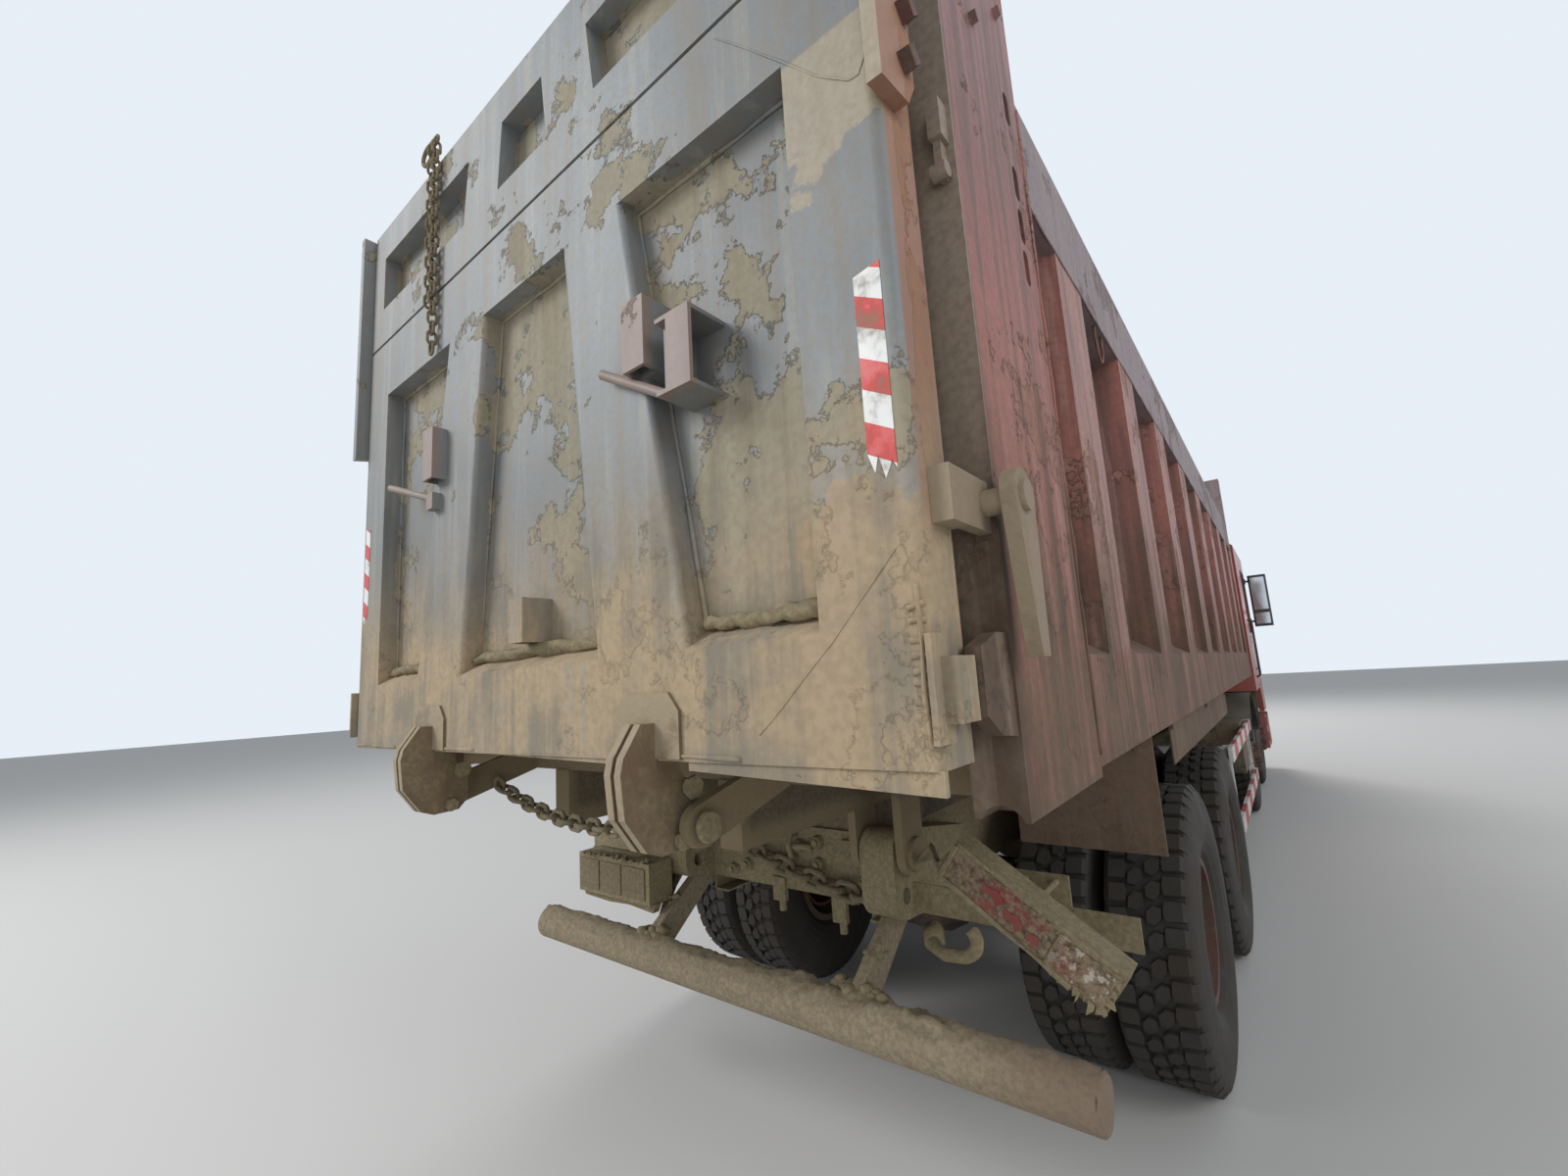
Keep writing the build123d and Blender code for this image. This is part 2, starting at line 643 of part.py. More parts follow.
# Bed floor on its long beams, with the tipping ears and their pins
bed_front_station = bed_length
lug_x = (582, 607)
with BuildPart() as bed_floor:
    block((0, bed_wall_inner_x - seat_gap), (at(0), at(bed_front_station)),
          (bed_floor_bottom_z, bed_floor_z))
    block((bed_beam_half_gap, bed_beam_half_gap + bed_beam_width), (at(150), at(bed_front_station) - 100),
          (bed_beam_bottom_z, bed_cross_bottom_z))
    cross_beam_count = int((bed_front_station - 800) / bed_cross_beam_pitch) + 2
    for number in range(cross_beam_count):
        beam_y = at(bed_pin_station) + (number - 1) * bed_cross_beam_pitch
        block((0, bed_wall_inner_x - seat_gap),
              (beam_y - bed_cross_beam_width / 2, beam_y + bed_cross_beam_width / 2),
              (bed_cross_bottom_z, bed_floor_bottom_z))
    for ear_x, foot_z in ((ear_inner_x, bed_beam_bottom_z), (ear_outer_x, bed_cross_bottom_z)):
        with BuildSketch(side_plane(ear_x[0])) as ear_outline:
            with Locations((at(bed_pin_station), bed_pin_z)):
                Circle(ear_radius)
            with Locations((at(bed_pin_station), foot_z + 5)):
                Rectangle(2 * ear_radius, 10)
            make_hull()
        extrude(ear_outline.sketch, amount=ear_x[1] - ear_x[0])
    with BuildSketch(side_plane(lug_x[0])) as lug_outline:
        with Locations((at(-146), 1361)):
            Circle(46)
        with Locations((at(200), 1455)):
            Rectangle(80, 70)
        make_hull()
    extrude(lug_outline.sketch, amount=lug_x[1] - lug_x[0])
    bar_along_x((lug_x[1] - 1, lug_x[1] + 14), at(-146), 1361, 24)
    bar_along_x((ear_inner_x[0] - 18, ear_outer_x[1] + 18), at(bed_pin_station), bed_pin_z, bed_pin_radius)
    bar_along_x((ear_outer_x[1], ear_outer_x[1] + 18), at(bed_pin_station), bed_pin_z, bed_pin_head_radius)
    mirror(about=Plane.YZ)
write(bed_floor.part, "bed_floor")

# Bed side: sill box, inner sheet, top rail, ribs and the tall rear post
post_bottom_z = bed_side_bottom_z - 22
with BuildPart() as bed_side:
    with BuildSketch(cross_plane(at(bed_front_station))):
        Polygon(
            (bed_wall_inner_x, bed_side_bottom_z),
            (bed_half_width, bed_side_bottom_z),
            (bed_half_width, bed_ledge_z),
            (bed_wall_inner_x + bed_sheet, bed_ledge_z + bed_ledge_rise),
            (bed_wall_inner_x + bed_sheet, bed_rail_bottom_z),
            (bed_half_width, bed_rail_bottom_z),
            (bed_half_width, bed_top_z),
            (bed_wall_inner_x, bed_top_z),
            align=None,
        )
    extrude(amount=bed_front_station)
    rib_places = [(first_rib_station + number * rib_pitch, rib_face / 2) for number in range(rib_count)]
    rib_places.append((bed_front_station - 130, 130))
    for station, half_face in rib_places:
        half_base = half_face + (rib_base - rib_face) / 2 if station < bed_front_station - 200 else half_face
        with BuildSketch(Plane.XY.offset(bed_ledge_z)) as rib_outline:
            Polygon(
                (bed_wall_inner_x + 1, at(station) - half_base),
                (bed_half_width, at(station) - half_face),
                (bed_half_width, at(station) + half_face),
                (bed_wall_inner_x + 1, at(station) + half_base),
                align=None,
            )
        extrude(rib_outline.sketch, amount=bed_rail_bottom_z - bed_ledge_z + 1)
    block((bed_wall_inner_x, bed_half_width), (at(0), at(post_depth)), (post_bottom_z, post_top_z))
    with BuildSketch(side_plane(bed_half_width - post_plate)) as slots:
        with Locations(*[(at(post_slot_station), slot_z) for slot_z in post_slot_z]):
            SlotOverall(96, 38, rotation=90)
    extrude(slots.sketch, amount=post_plate + 1, mode=Mode.SUBTRACT)
    with BuildSketch(cross_plane(at(90))) as foot_arch:
        with Locations(((bed_wall_inner_x + bed_half_width) / 2, post_bottom_z - 18)):
            Circle(44)
    extrude(foot_arch.sketch, amount=91, mode=Mode.SUBTRACT)
    # Small bracket and pulley block on the post's rear face
    bracket_x = bed_half_width - 10
    block((bracket_x - 28, bracket_x), (at(-38), at(1)), (2700, 2785))
    block((bracket_x - 24, bracket_x - 8), (at(-26), at(1)), (2620, 2701))
    bar_along_x((bracket_x - 32, bracket_x), at(-22), 2632, 17)
    # Lug and pin that carry the tailgate
    with BuildSketch(side_plane(bed_half_width - 10)) as lug_outline:
        with Locations((at(-gate_pivot_reach), gate_pivot_z)):
            Circle(45)
        with Locations((at(80), gate_pivot_z - 15)):
            Rectangle(140, 90)
        make_hull()
    extrude(lug_outline.sketch, amount=22)
    bar_along_x((gate_half_width + 4, bed_half_width + 12), at(-gate_pivot_reach), gate_pivot_z,
                gate_pin_radius)
    # Keeper for the tailgate's side latch
    slab_yz((gate_half_width + 12, bed_half_width - 5), [
        (at(1), 1535),
        (at(1), 1715),
        (at(-55), 1715),
        (at(-130), 1690),
        (at(-130), 1580),
        (at(-75), 1545),
    ])
    # Mud plate behind the rear wheels and strips above the driven wheels
    block((800, bed_half_width), (at(1195), at(1203)), (1050, bed_side_bottom_z + 4))
    for strip_front in (3300, 4700):
        block((1200, 1206), (at(strip_front) - 1395, at(strip_front) - 5), (1230, bed_side_bottom_z + 4))
write_pair(bed_side.part, "bed_side")

# Headboard with the cheeks that hold the lift's eye
board_inner_station = bed_front_station - headboard_thickness
with BuildPart() as headboard:
    block((0, bed_wall_inner_x - seat_gap), (at(board_inner_station), at(board_inner_station) + 12),
          (bed_floor_z + seat_gap, headboard_top_z - 60))
    for rib_z in (1650, 2000, 2350, 2700, 3050, 3400):
        slab_yz((0, bed_wall_inner_x - seat_gap), [
            (at(board_inner_station) + 11, rib_z - 70),
            (at(bed_front_station), rib_z - 40),
            (at(bed_front_station), rib_z + 40),
            (at(board_inner_station) + 11, rib_z + 70),
        ])
    block((bed_wall_inner_x - 60, bed_half_width),
          (at(board_inner_station) - 20, at(bed_front_station) + 50),
          (bed_top_z + seat_gap, headboard_top_z))
    block((0, bed_half_width), (at(board_inner_station), at(bed_front_station)),
          (headboard_top_z - 90, headboard_top_z))
    for cheek_z in (2350, 2700):
        block((60, 260), (at(board_inner_station) + 11, at(bed_front_station) + 10),
              (cheek_z - 110, cheek_z + 110))
    slab_yz((lift_cheek_inner_x, lift_cheek_inner_x + 20), [
        (at(board_inner_station) + 11, 2240),
        (at(bed_front_station) + 10, 2240),
        (at(lift_station) - 120, lift_eye_z - 85),
        (at(lift_station) + 40, lift_eye_z - 95),
        (at(lift_station) + 100, lift_eye_z - 20),
        (at(lift_station) + 100, lift_eye_z + 50),
        (at(lift_station) + 30, lift_eye_z + 100),
        (at(bed_front_station) + 10, 2810),
        (at(board_inner_station) + 11, 2810),
    ])
    bar_along_x((lift_cheek_inner_x, lift_cheek_inner_x + 40), at(lift_station), lift_eye_z, 62)
    mirror(about=Plane.YZ)
write(headboard.part, "headboard")

# Tailgate: one deep plate with recessed panels between its columns and leaning ribs
gate_face_y = at(-gate_face_reach)
gate_recess_y = gate_face_y + gate_recess
gate_skin_y = at(-gate_inner_reach)
with BuildPart() as tailgate:
    block((-gate_half_width, gate_half_width), (gate_face_y, gate_skin_y), (gate_bottom_z, gate_top_z))
    fillet(tailgate.edges().filter_by(Axis.Z).group_by(Axis.Y)[0], 24)
    slab_yz((-column_inner_x, column_inner_x), [
        (gate_face_y - 1, lower_beam_top_z),
        (gate_face_y, lower_beam_top_z),
        (gate_recess_y, lower_beam_top_z + lower_beam_slope),
        (gate_recess_y, upper_beam_bottom_z),
        (gate_face_y - 1, upper_beam_bottom_z),
    ], mode=Mode.SUBTRACT)
    for side in (-1, 1):
        rib_outline = [
            (side * 218, upper_beam_bottom_z + 1),
            (side * 476, upper_beam_bottom_z + 1),
            (side * 667, lower_beam_top_z),
            (side * 348, lower_beam_top_z),
        ]
        with BuildPart(mode=Mode.PRIVATE) as rib:
            slab_xz((gate_face_y, gate_recess_y + 1), rib_outline)
            long_edges = rib.faces().sort_by(Axis.Y)[0].edges().sort_by(SortBy.LENGTH)[-2:]
            fillet(long_edges, 16)
        add(rib.part)
        flank = sorted((side * gate_flank_x, side * (gate_half_width + 1)))
        block(flank, (at(-gate_flank_reach), gate_skin_y + 1), (gate_bottom_z - 1, gate_top_z + 1),
              mode=Mode.SUBTRACT)
    block((-gate_half_width - 1, gate_half_width + 1), (gate_face_y - 1, gate_face_y + 8),
          (gate_groove_z, gate_groove_z + gate_groove), mode=Mode.SUBTRACT)
    window_z = (gate_top_z - gate_window_drop[0], gate_top_z - gate_window_drop[1])
    slab_xz((gate_face_y - 1, gate_recess_y), [
        (-143, window_z[0]), (143, window_z[0]), (117, window_z[1]), (-117, window_z[1]),
    ], mode=Mode.SUBTRACT)
    for side in (-1, 1):
        slab_xz((gate_face_y - 1, gate_recess_y), [
            (side * 375, window_z[0]), (side * 1080, window_z[0]), (side * 1080, window_z[1]),
            (side * 345, window_z[1]),
        ], mode=Mode.SUBTRACT)
        arm = sorted((side * (gate_half_width - 1), side * (gate_half_width + 29)))
        slab_yz(arm, [
            (gate_face_y - 40, gate_top_z),
            (gate_face_y - 40, gate_arm_bottom_z),
            (at(-165), gate_arm_bottom_z + 20),
            (at(-135), gate_arm_bottom_z + 75),
            (at(-135), gate_pivot_z - 175),
            (at(-50), gate_pivot_z - 75),
            (at(-50), gate_top_z),
        ])
        bore = sorted((side * (gate_half_width + 2), side * (gate_half_width + 30)))
        bar_along_x(bore, at(-gate_pivot_reach), gate_pivot_z, gate_pin_radius + pin_clearance,
                    mode=Mode.SUBTRACT)
        # Striker plate and block on the flank, and the lip below the gate
        plate_x = sorted((side * (gate_half_width - 1), side * (gate_half_width + 10)))
        block(plate_x, (gate_face_y - 18, gate_face_y + 40), (1545, 1712))
        striker_x = sorted((side * (gate_half_width - 1), side * (gate_half_width + 36)))
        block(striker_x, (gate_face_y + 8, gate_face_y + 78), (1575, 1676))
    for lip_x, lip_drop in (((-160, 430), (2, 13)), ((650, gate_half_width), (18, 38))):
        slab_xz((gate_face_y + 6, gate_face_y + 18), [
            (lip_x[0], gate_bottom_z + 1),
            (lip_x[1], gate_bottom_z + 1),
            (lip_x[1], gate_bottom_z - lip_drop[1]),
            (lip_x[0], gate_bottom_z - lip_drop[0]),
        ])
    # Sockets open below, open channel and slanted rods welded to the face
    block((535, 610), (gate_face_y - 48, gate_recess_y + 1), (2366, 2535))
    block((545, 600), (gate_face_y - 39, gate_face_y - 1), (2365, 2525), mode=Mode.SUBTRACT)
    block((685, 755), (gate_face_y - 48, gate_face_y - 38), (2272, 2450))
    for flange_z in ((2272, 2282), (2440, 2450)):
        block((650, 755), (gate_face_y - 48, gate_recess_y + 1), flange_z)
    block((650, 662), (gate_face_y - 22, gate_recess_y + 1), (2272, 2450))
    rod((430, gate_face_y - 26, 2412), (655, gate_face_y - 16, 2284), 12)
    block((-540, -470), (gate_face_y - 46, gate_face_y + 1), (2385, 2560))
    block((-532, -478), (gate_face_y - 38, gate_face_y - 1), (2384, 2552), mode=Mode.SUBTRACT)
    block((-545, -500), (gate_face_y - 30, gate_face_y + 1), (2290, 2345))
    rod((-880, gate_face_y - 20, 2452), (-530, gate_face_y - 14, 2330), 12)
    block((-15, 55), (gate_recess_y - 88, gate_recess_y + 1), (1800, 1920))
    block((-7, 47), (gate_recess_y - 80, gate_recess_y - 1), (1799, 1912), mode=Mode.SUBTRACT)
write(tailgate.part, "tailgate")

# Lock hooks below the tailgate and its side latches
with BuildPart() as lock_hooks:
    hook_x = 537
    latch_link_x = 1280
    hook_face_y = gate_face_y - seat_gap
    under_z = gate_bottom_z - seat_gap
    slab_xz((hook_face_y - 8, hook_face_y), [
        (hook_x - 102, gate_bottom_z + 5),
        (hook_x + 102, gate_bottom_z + 5),
        (hook_x + 102, 1608),
        (hook_x + 70, 1646),
        (hook_x - 70, 1646),
        (hook_x - 102, 1608),
    ])
    for plate_x, inset in (((hook_x - 27, hook_x - 6), 0), ((hook_x - 7, hook_x + 7), 12),
                           ((hook_x + 6, hook_x + 27), 0)):
        slab_yz(plate_x, [
            (hook_face_y, 1584 - inset),
            (at(-272), 1584 - inset),
            (at(-317) + inset, 1520),
            (at(-rear_reach) + inset, 1487),
            (at(-316) + inset, 1399),
            (at(-262) + inset, 1326 + inset),
            (at(-225), 1312 + inset),
            (at(-150), 1316 + inset),
            (at(-122) - inset, 1345 + inset),
            (at(-120) - inset, 1425),
            (at(-160) - inset, 1466),
            (at(-175), under_z),
            (hook_face_y, under_z),
        ])
    bar_along_x((hook_x - 37, hook_x + 37), at(-146), 1440, 16)
    bar_along_x((hook_x - 37, hook_x + 37), at(-178), 1335, 12)
    # Side latch: bearing block on the flank, pivot and hanging link
    block((gate_half_width + seat_gap, gate_half_width + 38), (at(-180), at(-gate_flank_reach)),
          (1893, 1988))
    block((gate_half_width + 14, gate_half_width + 38), (at(-gate_flank_reach) - 1, at(-14)), (1893, 1988))
    bar_along_x((gate_half_width + 37, latch_link_x + 1), at(-30), 1945, 24)
    with BuildSketch(side_plane(latch_link_x)) as link_outline:
        with Locations((at(-14), 1950)):
            Circle(50)
        with Locations((at(4), 1680)):
            Rectangle(40, 22)
        make_hull()
    extrude(link_outline.sketch, amount=28)
    bar_along_x((latch_link_x + 27, latch_link_x + 37), at(-20), 1948, 28)
    mirror(about=Plane.YZ)
write(lock_hooks.part, "lock_hooks")


def link_corners(half_length, half_width, cut):
    """Corners of a chain link's outline with its ends cut off at a slant."""
    quarter = [(half_length, half_width - cut), (half_length - cut, half_width)]
    right = [(x, -y) for x, y in reversed(quarter)] + quarter
    return right + [(-x, -y) for x, y in right]


def chain(strands, wire, name):
    """Write a chain of strands, whose links turn a quarter from one point to the next."""
    with BuildPart() as links:
        for points, number in [(points, number) for points in strands for number in range(len(points) - 1)]:
            start = Vector(*points[number])
            along = Vector(*points[number + 1]) - start
            across = Vector(1, 0, 0) if abs(along.X) < 0.6 * along.length else Vector(0, 1, 0)
            turned = across if number % 2 == 0 else along.cross(across)
            plane = Plane(origin=start + along / 2, x_dir=along, z_dir=turned)
            with BuildSketch(plane.offset(-wire / 2)) as link_outline:
                Polygon(*link_corners(along.length / 2 + 0.95 * wire, 1.8 * wire, wire), align=None)
                Polygon(*link_corners(along.length / 2 - 0.05 * wire, 0.8 * wire, wire / 3), align=None,
                        mode=Mode.SUBTRACT)
            extrude(link_outline.sketch, amount=wire)
    write(links.part, name)


# Tow chain across the rear end plate, and a lighter chain between the bed's lugs
tow_chain_links = 10
tow_chain_wire = 23
tow_chain_y = at(rail_rear_station) - 1.8 * tow_chain_wire - seat_gap
tow_chain_points = []
for number in range(tow_chain_links + 1):
    share = number / tow_chain_links
    tow_chain_points.append((-325 + 715 * share, tow_chain_y,
                             1066 - 172 * share - 130 * share * (1 - share)))
chain([tow_chain_points], tow_chain_wire, "tow_chain")
lug_chain_links = 25
lug_chain_wire = 15
lug_chain_half = lug_x[0] - 1.2 * lug_chain_wire - seat_gap
lug_chain_points = []
for number in range(lug_chain_links + 1):
    share = 2 * number / lug_chain_links - 1
    lug_chain_points.append((share * lug_chain_half, at(0), 1375 - 100 * (1 - share * share)))
chain([lug_chain_points], lug_chain_wire, "lug_chain")

# Chain that hangs double over the tailgate's top
gate_chain_wire = 11
gate_chain_pitch = 38
gate_chain_y = gate_face_y - 1.8 * gate_chain_wire - seat_gap
long_strand = [(-560, gate_chain_y, gate_top_z + 60 - gate_chain_pitch * number) for number in range(23)]
short_strand = [(-560 - 3 * gate_chain_wire, y, z) for x, y, z in long_strand[:18]]
joining_link = [(-560 - 4.3 * gate_chain_wire, gate_chain_y, gate_top_z + 72),
                (-560 + gate_chain_wire, gate_chain_y, gate_top_z + 72)]
chain([long_strand, short_strand, joining_link], gate_chain_wire, "gate_chain")

# Engine block between the rails with the gearbox behind it
with BuildPart() as engine:
    engine_y = (at(engine_rear_station), at(10400))
    with BuildSketch(cross_plane(engine_y[1])) as block_section:
        Polygon((-240, 620), (240, 620), (330, 760), (330, 1300), (240, 1420), (-240, 1420), (-330, 1300),
                (-330, 760),
                align=None)
    extrude(block_section.sketch, amount=engine_y[1] - engine_y[0])
    rod((0, at(engine_rear_station) + 5, 860), (0, at(gearbox_rear_station), 820), 190)
    for side in (-1, 1):
        mount_x = sorted((side * 300, side * (rail_web_x - seat_gap)))
        for station in (engine_rear_station + 120, 10220):
            block(mount_x, (at(station) - 50, at(station) + 50), (rail_top_z - 90, rail_top_z - 10))
write(engine.part, "engine")

# Fuel tank on two brackets
with BuildPart() as fuel_tank:
    with BuildSketch(cross_plane(at(6200))) as tank_section:
        with Locations((-900, 815)):
            RectangleRounded(560, 530, 70)
    extrude(tank_section.sketch, amount=1300)
    for station in (5150, 5950):
        with BuildSketch(cross_plane(at(station) + 30)) as strap_section:
            with Locations((-900, 815)):
                RectangleRounded(572, 542, 74)
        extrude(strap_section.sketch, amount=60)
        block((-640, -rail_outer_x), (at(station) - 30, at(station) + 30), (530, 600))
        block((-640, -rail_outer_x), (at(station) - 30, at(station) + 30), (600, 1060))
    bar_along_x((-940, -880), at(5550), 1085, 20)
    with Locations((-1100, at(6080), 1092)):
        Cylinder(50, 40)
write(fuel_tank.part, "fuel_tank")

# Battery box, air tanks and silencer hung from the rails
with BuildPart() as chassis_boxes:
    block((620, 1180), (at(6000), at(6600)), (600, 1040))
    block((rail_outer_x, 625), (at(6060), at(6120)), (640, 1020))
    block((rail_outer_x, 625), (at(6480), at(6540)), (640, 1020))
    for tank_z in (660, 930):
        rod((740, at(4900), tank_z), (740, at(5880), tank_z), 125)
    for station in (5080, 5700):
        block((rail_outer_x, 750), (at(station) - 20, at(station) + 20), (600, 990))
    block((510, 1150), (at(8200), at(8640)), (560, 1000))
    for station in (8260, 8580):
        block((rail_outer_x, 515), (at(station) - 25, at(station) + 25), (820, 980))
    rod((-700, at(8240), 700), (-700, at(8620), 700), 150)
    block((-705, -rail_outer_x), (at(8400) - 30, at(8400) + 30), (700, 960))
write(chassis_boxes.part, "chassis_boxes")

# Striped side guard rails on posts that reach out from the frame
guard_rear_station = 4300
guard_front_station = 6750
with BuildPart() as side_guards:
    for rail_z in ((450, 550), (920, 1020)):
        block((1200, 1225), (at(guard_rear_station), at(guard_front_station)), rail_z)
    for station in (guard_rear_station + 150, guard_front_station - 60):
        block((1160, 1201), (at(station) - 25, at(station) + 25), (450, 1020))
        block((rail_outer_x, 1165), (at(station) - 25, at(station) + 25), (960, 1010))
    mirror(about=Plane.YZ)
write(side_guards.part, "side_guards")

# Front bumper with wrapped sides, lamp pockets and step boxes
bumper_bottom_z = 360
bumper_top_z = 800
bumper_side_top_z = 735
with BuildPart() as front_bumper:
    block((0, cab_half_width), (at(front_station) - 60, at(front_station)), (bumper_bottom_z, bumper_top_z))
    block((cab_half_width - 60, cab_half_width), (at(10450), at(front_station) - 10),
          (bumper_bottom_z, bumper_side_top_z))
    block((rail_inner_x, rail_outer_x), (at(front_station) - 70 + seat_gap, at(front_station) - 59),
          (520, 640))
    block((780, 1150), (at(front_station) - 50, at(front_station) + 1), (480, 680), mode=Mode.SUBTRACT)
    block((0, 560), (at(front_station) - 25, at(front_station) + 1), (560, 740), mode=Mode.SUBTRACT)
    for bar_z in (595, 640, 685):
        block((0, 561), (at(front_station) - 26, at(front_station) - 8), (bar_z, bar_z + 22))
    block((1000, cab_half_width - 5), (at(10020), at(10451)), (bumper_bottom_z, bumper_top_z))
    for step_z in (430, 640):
        block((1060, cab_half_width), (at(10080), at(10400)), (step_z, step_z + 130), mode=Mode.SUBTRACT)
    block((rail_outer_x, 1001), (at(10300), at(10380)), (bumper_top_z - 130, bumper_top_z - 50))
    block((rail_outer_x, 470), (at(10300), at(10380)), (bumper_top_z - 130, rail_bottom_z + 120))
    mirror(about=Plane.YZ)
write(front_bumper.part, "front_bumper")

# Mudguard arcs over the second axle and behind the first
mudguard_radius = 685
with BuildPart() as mudguards:
    for station, start_angle, end_angle in ((axle_2_station, 20, 160), (axle_1_station, 112, 160)):
        with BuildSketch(side_plane(840)) as arc_section:
            with BuildLine():
                inner_points = []
                outer_points = []
                for angle in (start_angle, (start_angle + end_angle) / 2, end_angle):
                    direction = (cos(radians(angle)), sin(radians(angle)))
                    inner_points.append((at(station) + (mudguard_radius - 5) * direction[0],
                                         wheel_centre_z + (mudguard_radius - 5) * direction[1]))
                    outer_points.append((at(station) + mudguard_radius * direction[0],
                                         wheel_centre_z + mudguard_radius * direction[1]))
                ThreePointArc(*inner_points)
                Line(inner_points[2], outer_points[2])
                ThreePointArc(*reversed(outer_points))
                Line(outer_points[0], inner_points[0])
            make_face()
        extrude(arc_section.sketch, amount=390)
    for station in (axle_2_station - 640, axle_2_station + 640, axle_1_station - 640):
        block((rail_outer_x, 1220), (at(station) - 22, at(station) + 22),
              (wheel_centre_z + 225, wheel_centre_z + 265))
    mirror(about=Plane.YZ)
write(mudguards.part, "mudguards")

# Tail lamps on rods and arms, their carrier bars, and the headlamps in the bumper
lamp_bar_y = (at(bed_pin_station) + 40, at(bed_pin_station) + 48)
right_lamp_y = at(600)
right_lamp_half_depth = 45
with BuildPart() as lamps:
    block((bracket_outer_x, 1220), lamp_bar_y, (885, 975))
    block((895, 1050), lamp_bar_y, (974, 1060))
    block((-1220, -bracket_outer_x), lamp_bar_y, (885, 975))
    block((-980, -500), (at(596), at(716)), (800, 960))
    for arm_x in (-900, -620):
        block((arm_x - 15, arm_x + 15), (at(716) + seat_gap, lamp_bar_y[0] - seat_gap), (830, 905))
    with Locations(Location((1015, right_lamp_y, 1020), (0, 33.7, 0))):
        Box(470, 2 * right_lamp_half_depth, 120)
        with Locations((150, -46, 0)):
            Box(150, 10, 96)
    for rod_x in (930, 1015):
        rod((rod_x, right_lamp_y + right_lamp_half_depth + seat_gap, 1040),
            (rod_x, lamp_bar_y[0] - seat_gap, 1040), 9)
    for side in (-1, 1):
        lamp_x = sorted((side * 785, side * 1145))
        block(lamp_x, (at(front_station) - 50 + seat_gap, at(front_station) - 6), (485, 675))
write(lamps.part, "lamps")

# Cab outline seen from the side
cab_side_x = (cab_half_width - cab_wall, cab_half_width)
cab_front_inner_low = at(cab_front_station_low) - cab_front_wall
cab_front_inner_high = at(cab_front_station_high) - cab_front_wall
arch_front_station = 10060


def cab_front_y(z, depth=0):
    """Y of the slanted front's face at a height, or of the surface depth behind it."""
    slope = (cab_front_station_low - cab_front_station_high) / (cab_roof_z - cab_waist_z)
    return at(cab_front_station_low) - max(0, z - cab_waist_z) * slope - depth


def front_slab(x, z, depth, mode=Mode.ADD):
    """Add or cut a slab between two depths behind the cab's slanted front."""
    low, high = z
    slab_yz(x, [
        (cab_front_y(low, depth[0]), low),
        (cab_front_y(low, depth[1]), low),
        (cab_front_y(high, depth[1]), high),
        (cab_front_y(high, depth[0]), high),
    ], mode=mode)


door_opening = (at(door_rear_station), at(door_front_station))
with BuildPart() as cab_walls:
    slab_yz(cab_side_x, [
        (at(cab_rear_station), cab_floor_z),
        (at(arch_front_station) - 80, cab_floor_z),
        (at(arch_front_station), cab_skirt_z),
        (cab_front_inner_low, cab_skirt_z),
        (cab_front_inner_low, cab_waist_z),
        (cab_front_inner_high, cab_roof_z),
        (at(cab_rear_station), cab_roof_z),
    ])
    block((cab_side_x[0] - 1, cab_side_x[1] + 1), door_opening, (door_bottom_z, door_top_z),
          mode=Mode.SUBTRACT)
    mirror(about=Plane.YZ)
    block((-cab_side_x[0] - 1, cab_side_x[0] + 1), (at(cab_rear_station), at(cab_rear_station) + 50),
          (cab_floor_z, cab_roof_z))
    block((-500, 500), (at(cab_rear_station) - 1, at(cab_rear_station) + 51), (2150, 2650),
          mode=Mode.SUBTRACT)
write(cab_walls.part, "cab_walls")

# Cab floor with the engine tunnel and the pivot lugs
floor_x = cab_side_x[0] - seat_gap
tunnel_half_width = 420
tunnel_top_z = 1500
with BuildPart() as cab_floor:
    floor_y = (at(cab_rear_station) + 50 + seat_gap, cab_front_inner_low - seat_gap)
    block((tunnel_half_width - 40, floor_x), floor_y, (cab_floor_z, cab_floor_z + 60))
    block((tunnel_half_width - 40, tunnel_half_width), floor_y, (cab_floor_z, tunnel_top_z))
    block((0, tunnel_half_width), floor_y, (tunnel_top_z - 40, tunnel_top_z))
    block((0, tunnel_half_width), (floor_y[1] - 40, floor_y[1]), (cab_floor_z, tunnel_top_z))
    with BuildSketch(side_plane(cab_pivot_x - 25)) as lug_outline:
        with Locations((at(cab_pivot_station), cab_pivot_z)):
            Circle(42)
        with Locations((at(cab_pivot_station) - 20, cab_floor_z - 5)):
            Rectangle(200, 12)
        make_hull()
    extrude(lug_outline.sketch, amount=50)
    bar_along_x((cab_pivot_x - 26, cab_pivot_x + 26), at(cab_pivot_station), cab_pivot_z,
                cab_pivot_radius + pin_clearance, mode=Mode.SUBTRACT)
    mirror(about=Plane.YZ)
write(cab_floor.part, "cab_floor")

# Cab front panel with the windscreen opening and the barred grille
screen_z = (1970, 2800)
screen_half_width = 1100
grille_z = (1250, 1850)
grille_half_width = 800
with BuildPart() as cab_front:
    front_slab((0, cab_half_width), (cab_skirt_z, cab_waist_z), (0, cab_front_wall))
    front_slab((0, cab_half_width), (cab_waist_z, cab_roof_z), (0, cab_front_wall))
    front_slab((-1, screen_half_width), screen_z, (-1, cab_front_wall + 1), mode=Mode.SUBTRACT)
    front_slab((-1, grille_half_width), grille_z, (-1, 30), mode=Mode.SUBTRACT)
    for bar in range(5):
        bar_z = grille_z[0] + 60 + bar * 112
        front_slab((0, grille_half_width + 1), (bar_z, bar_z + 45), (6, 31))
    front_slab((0, 25), grille_z, (4, 31))
    front_slab((0, cab_half_width - 90), (2850, 2890), (-14, 1))
    mirror(about=Plane.YZ)
write(cab_front.part, "cab_front")

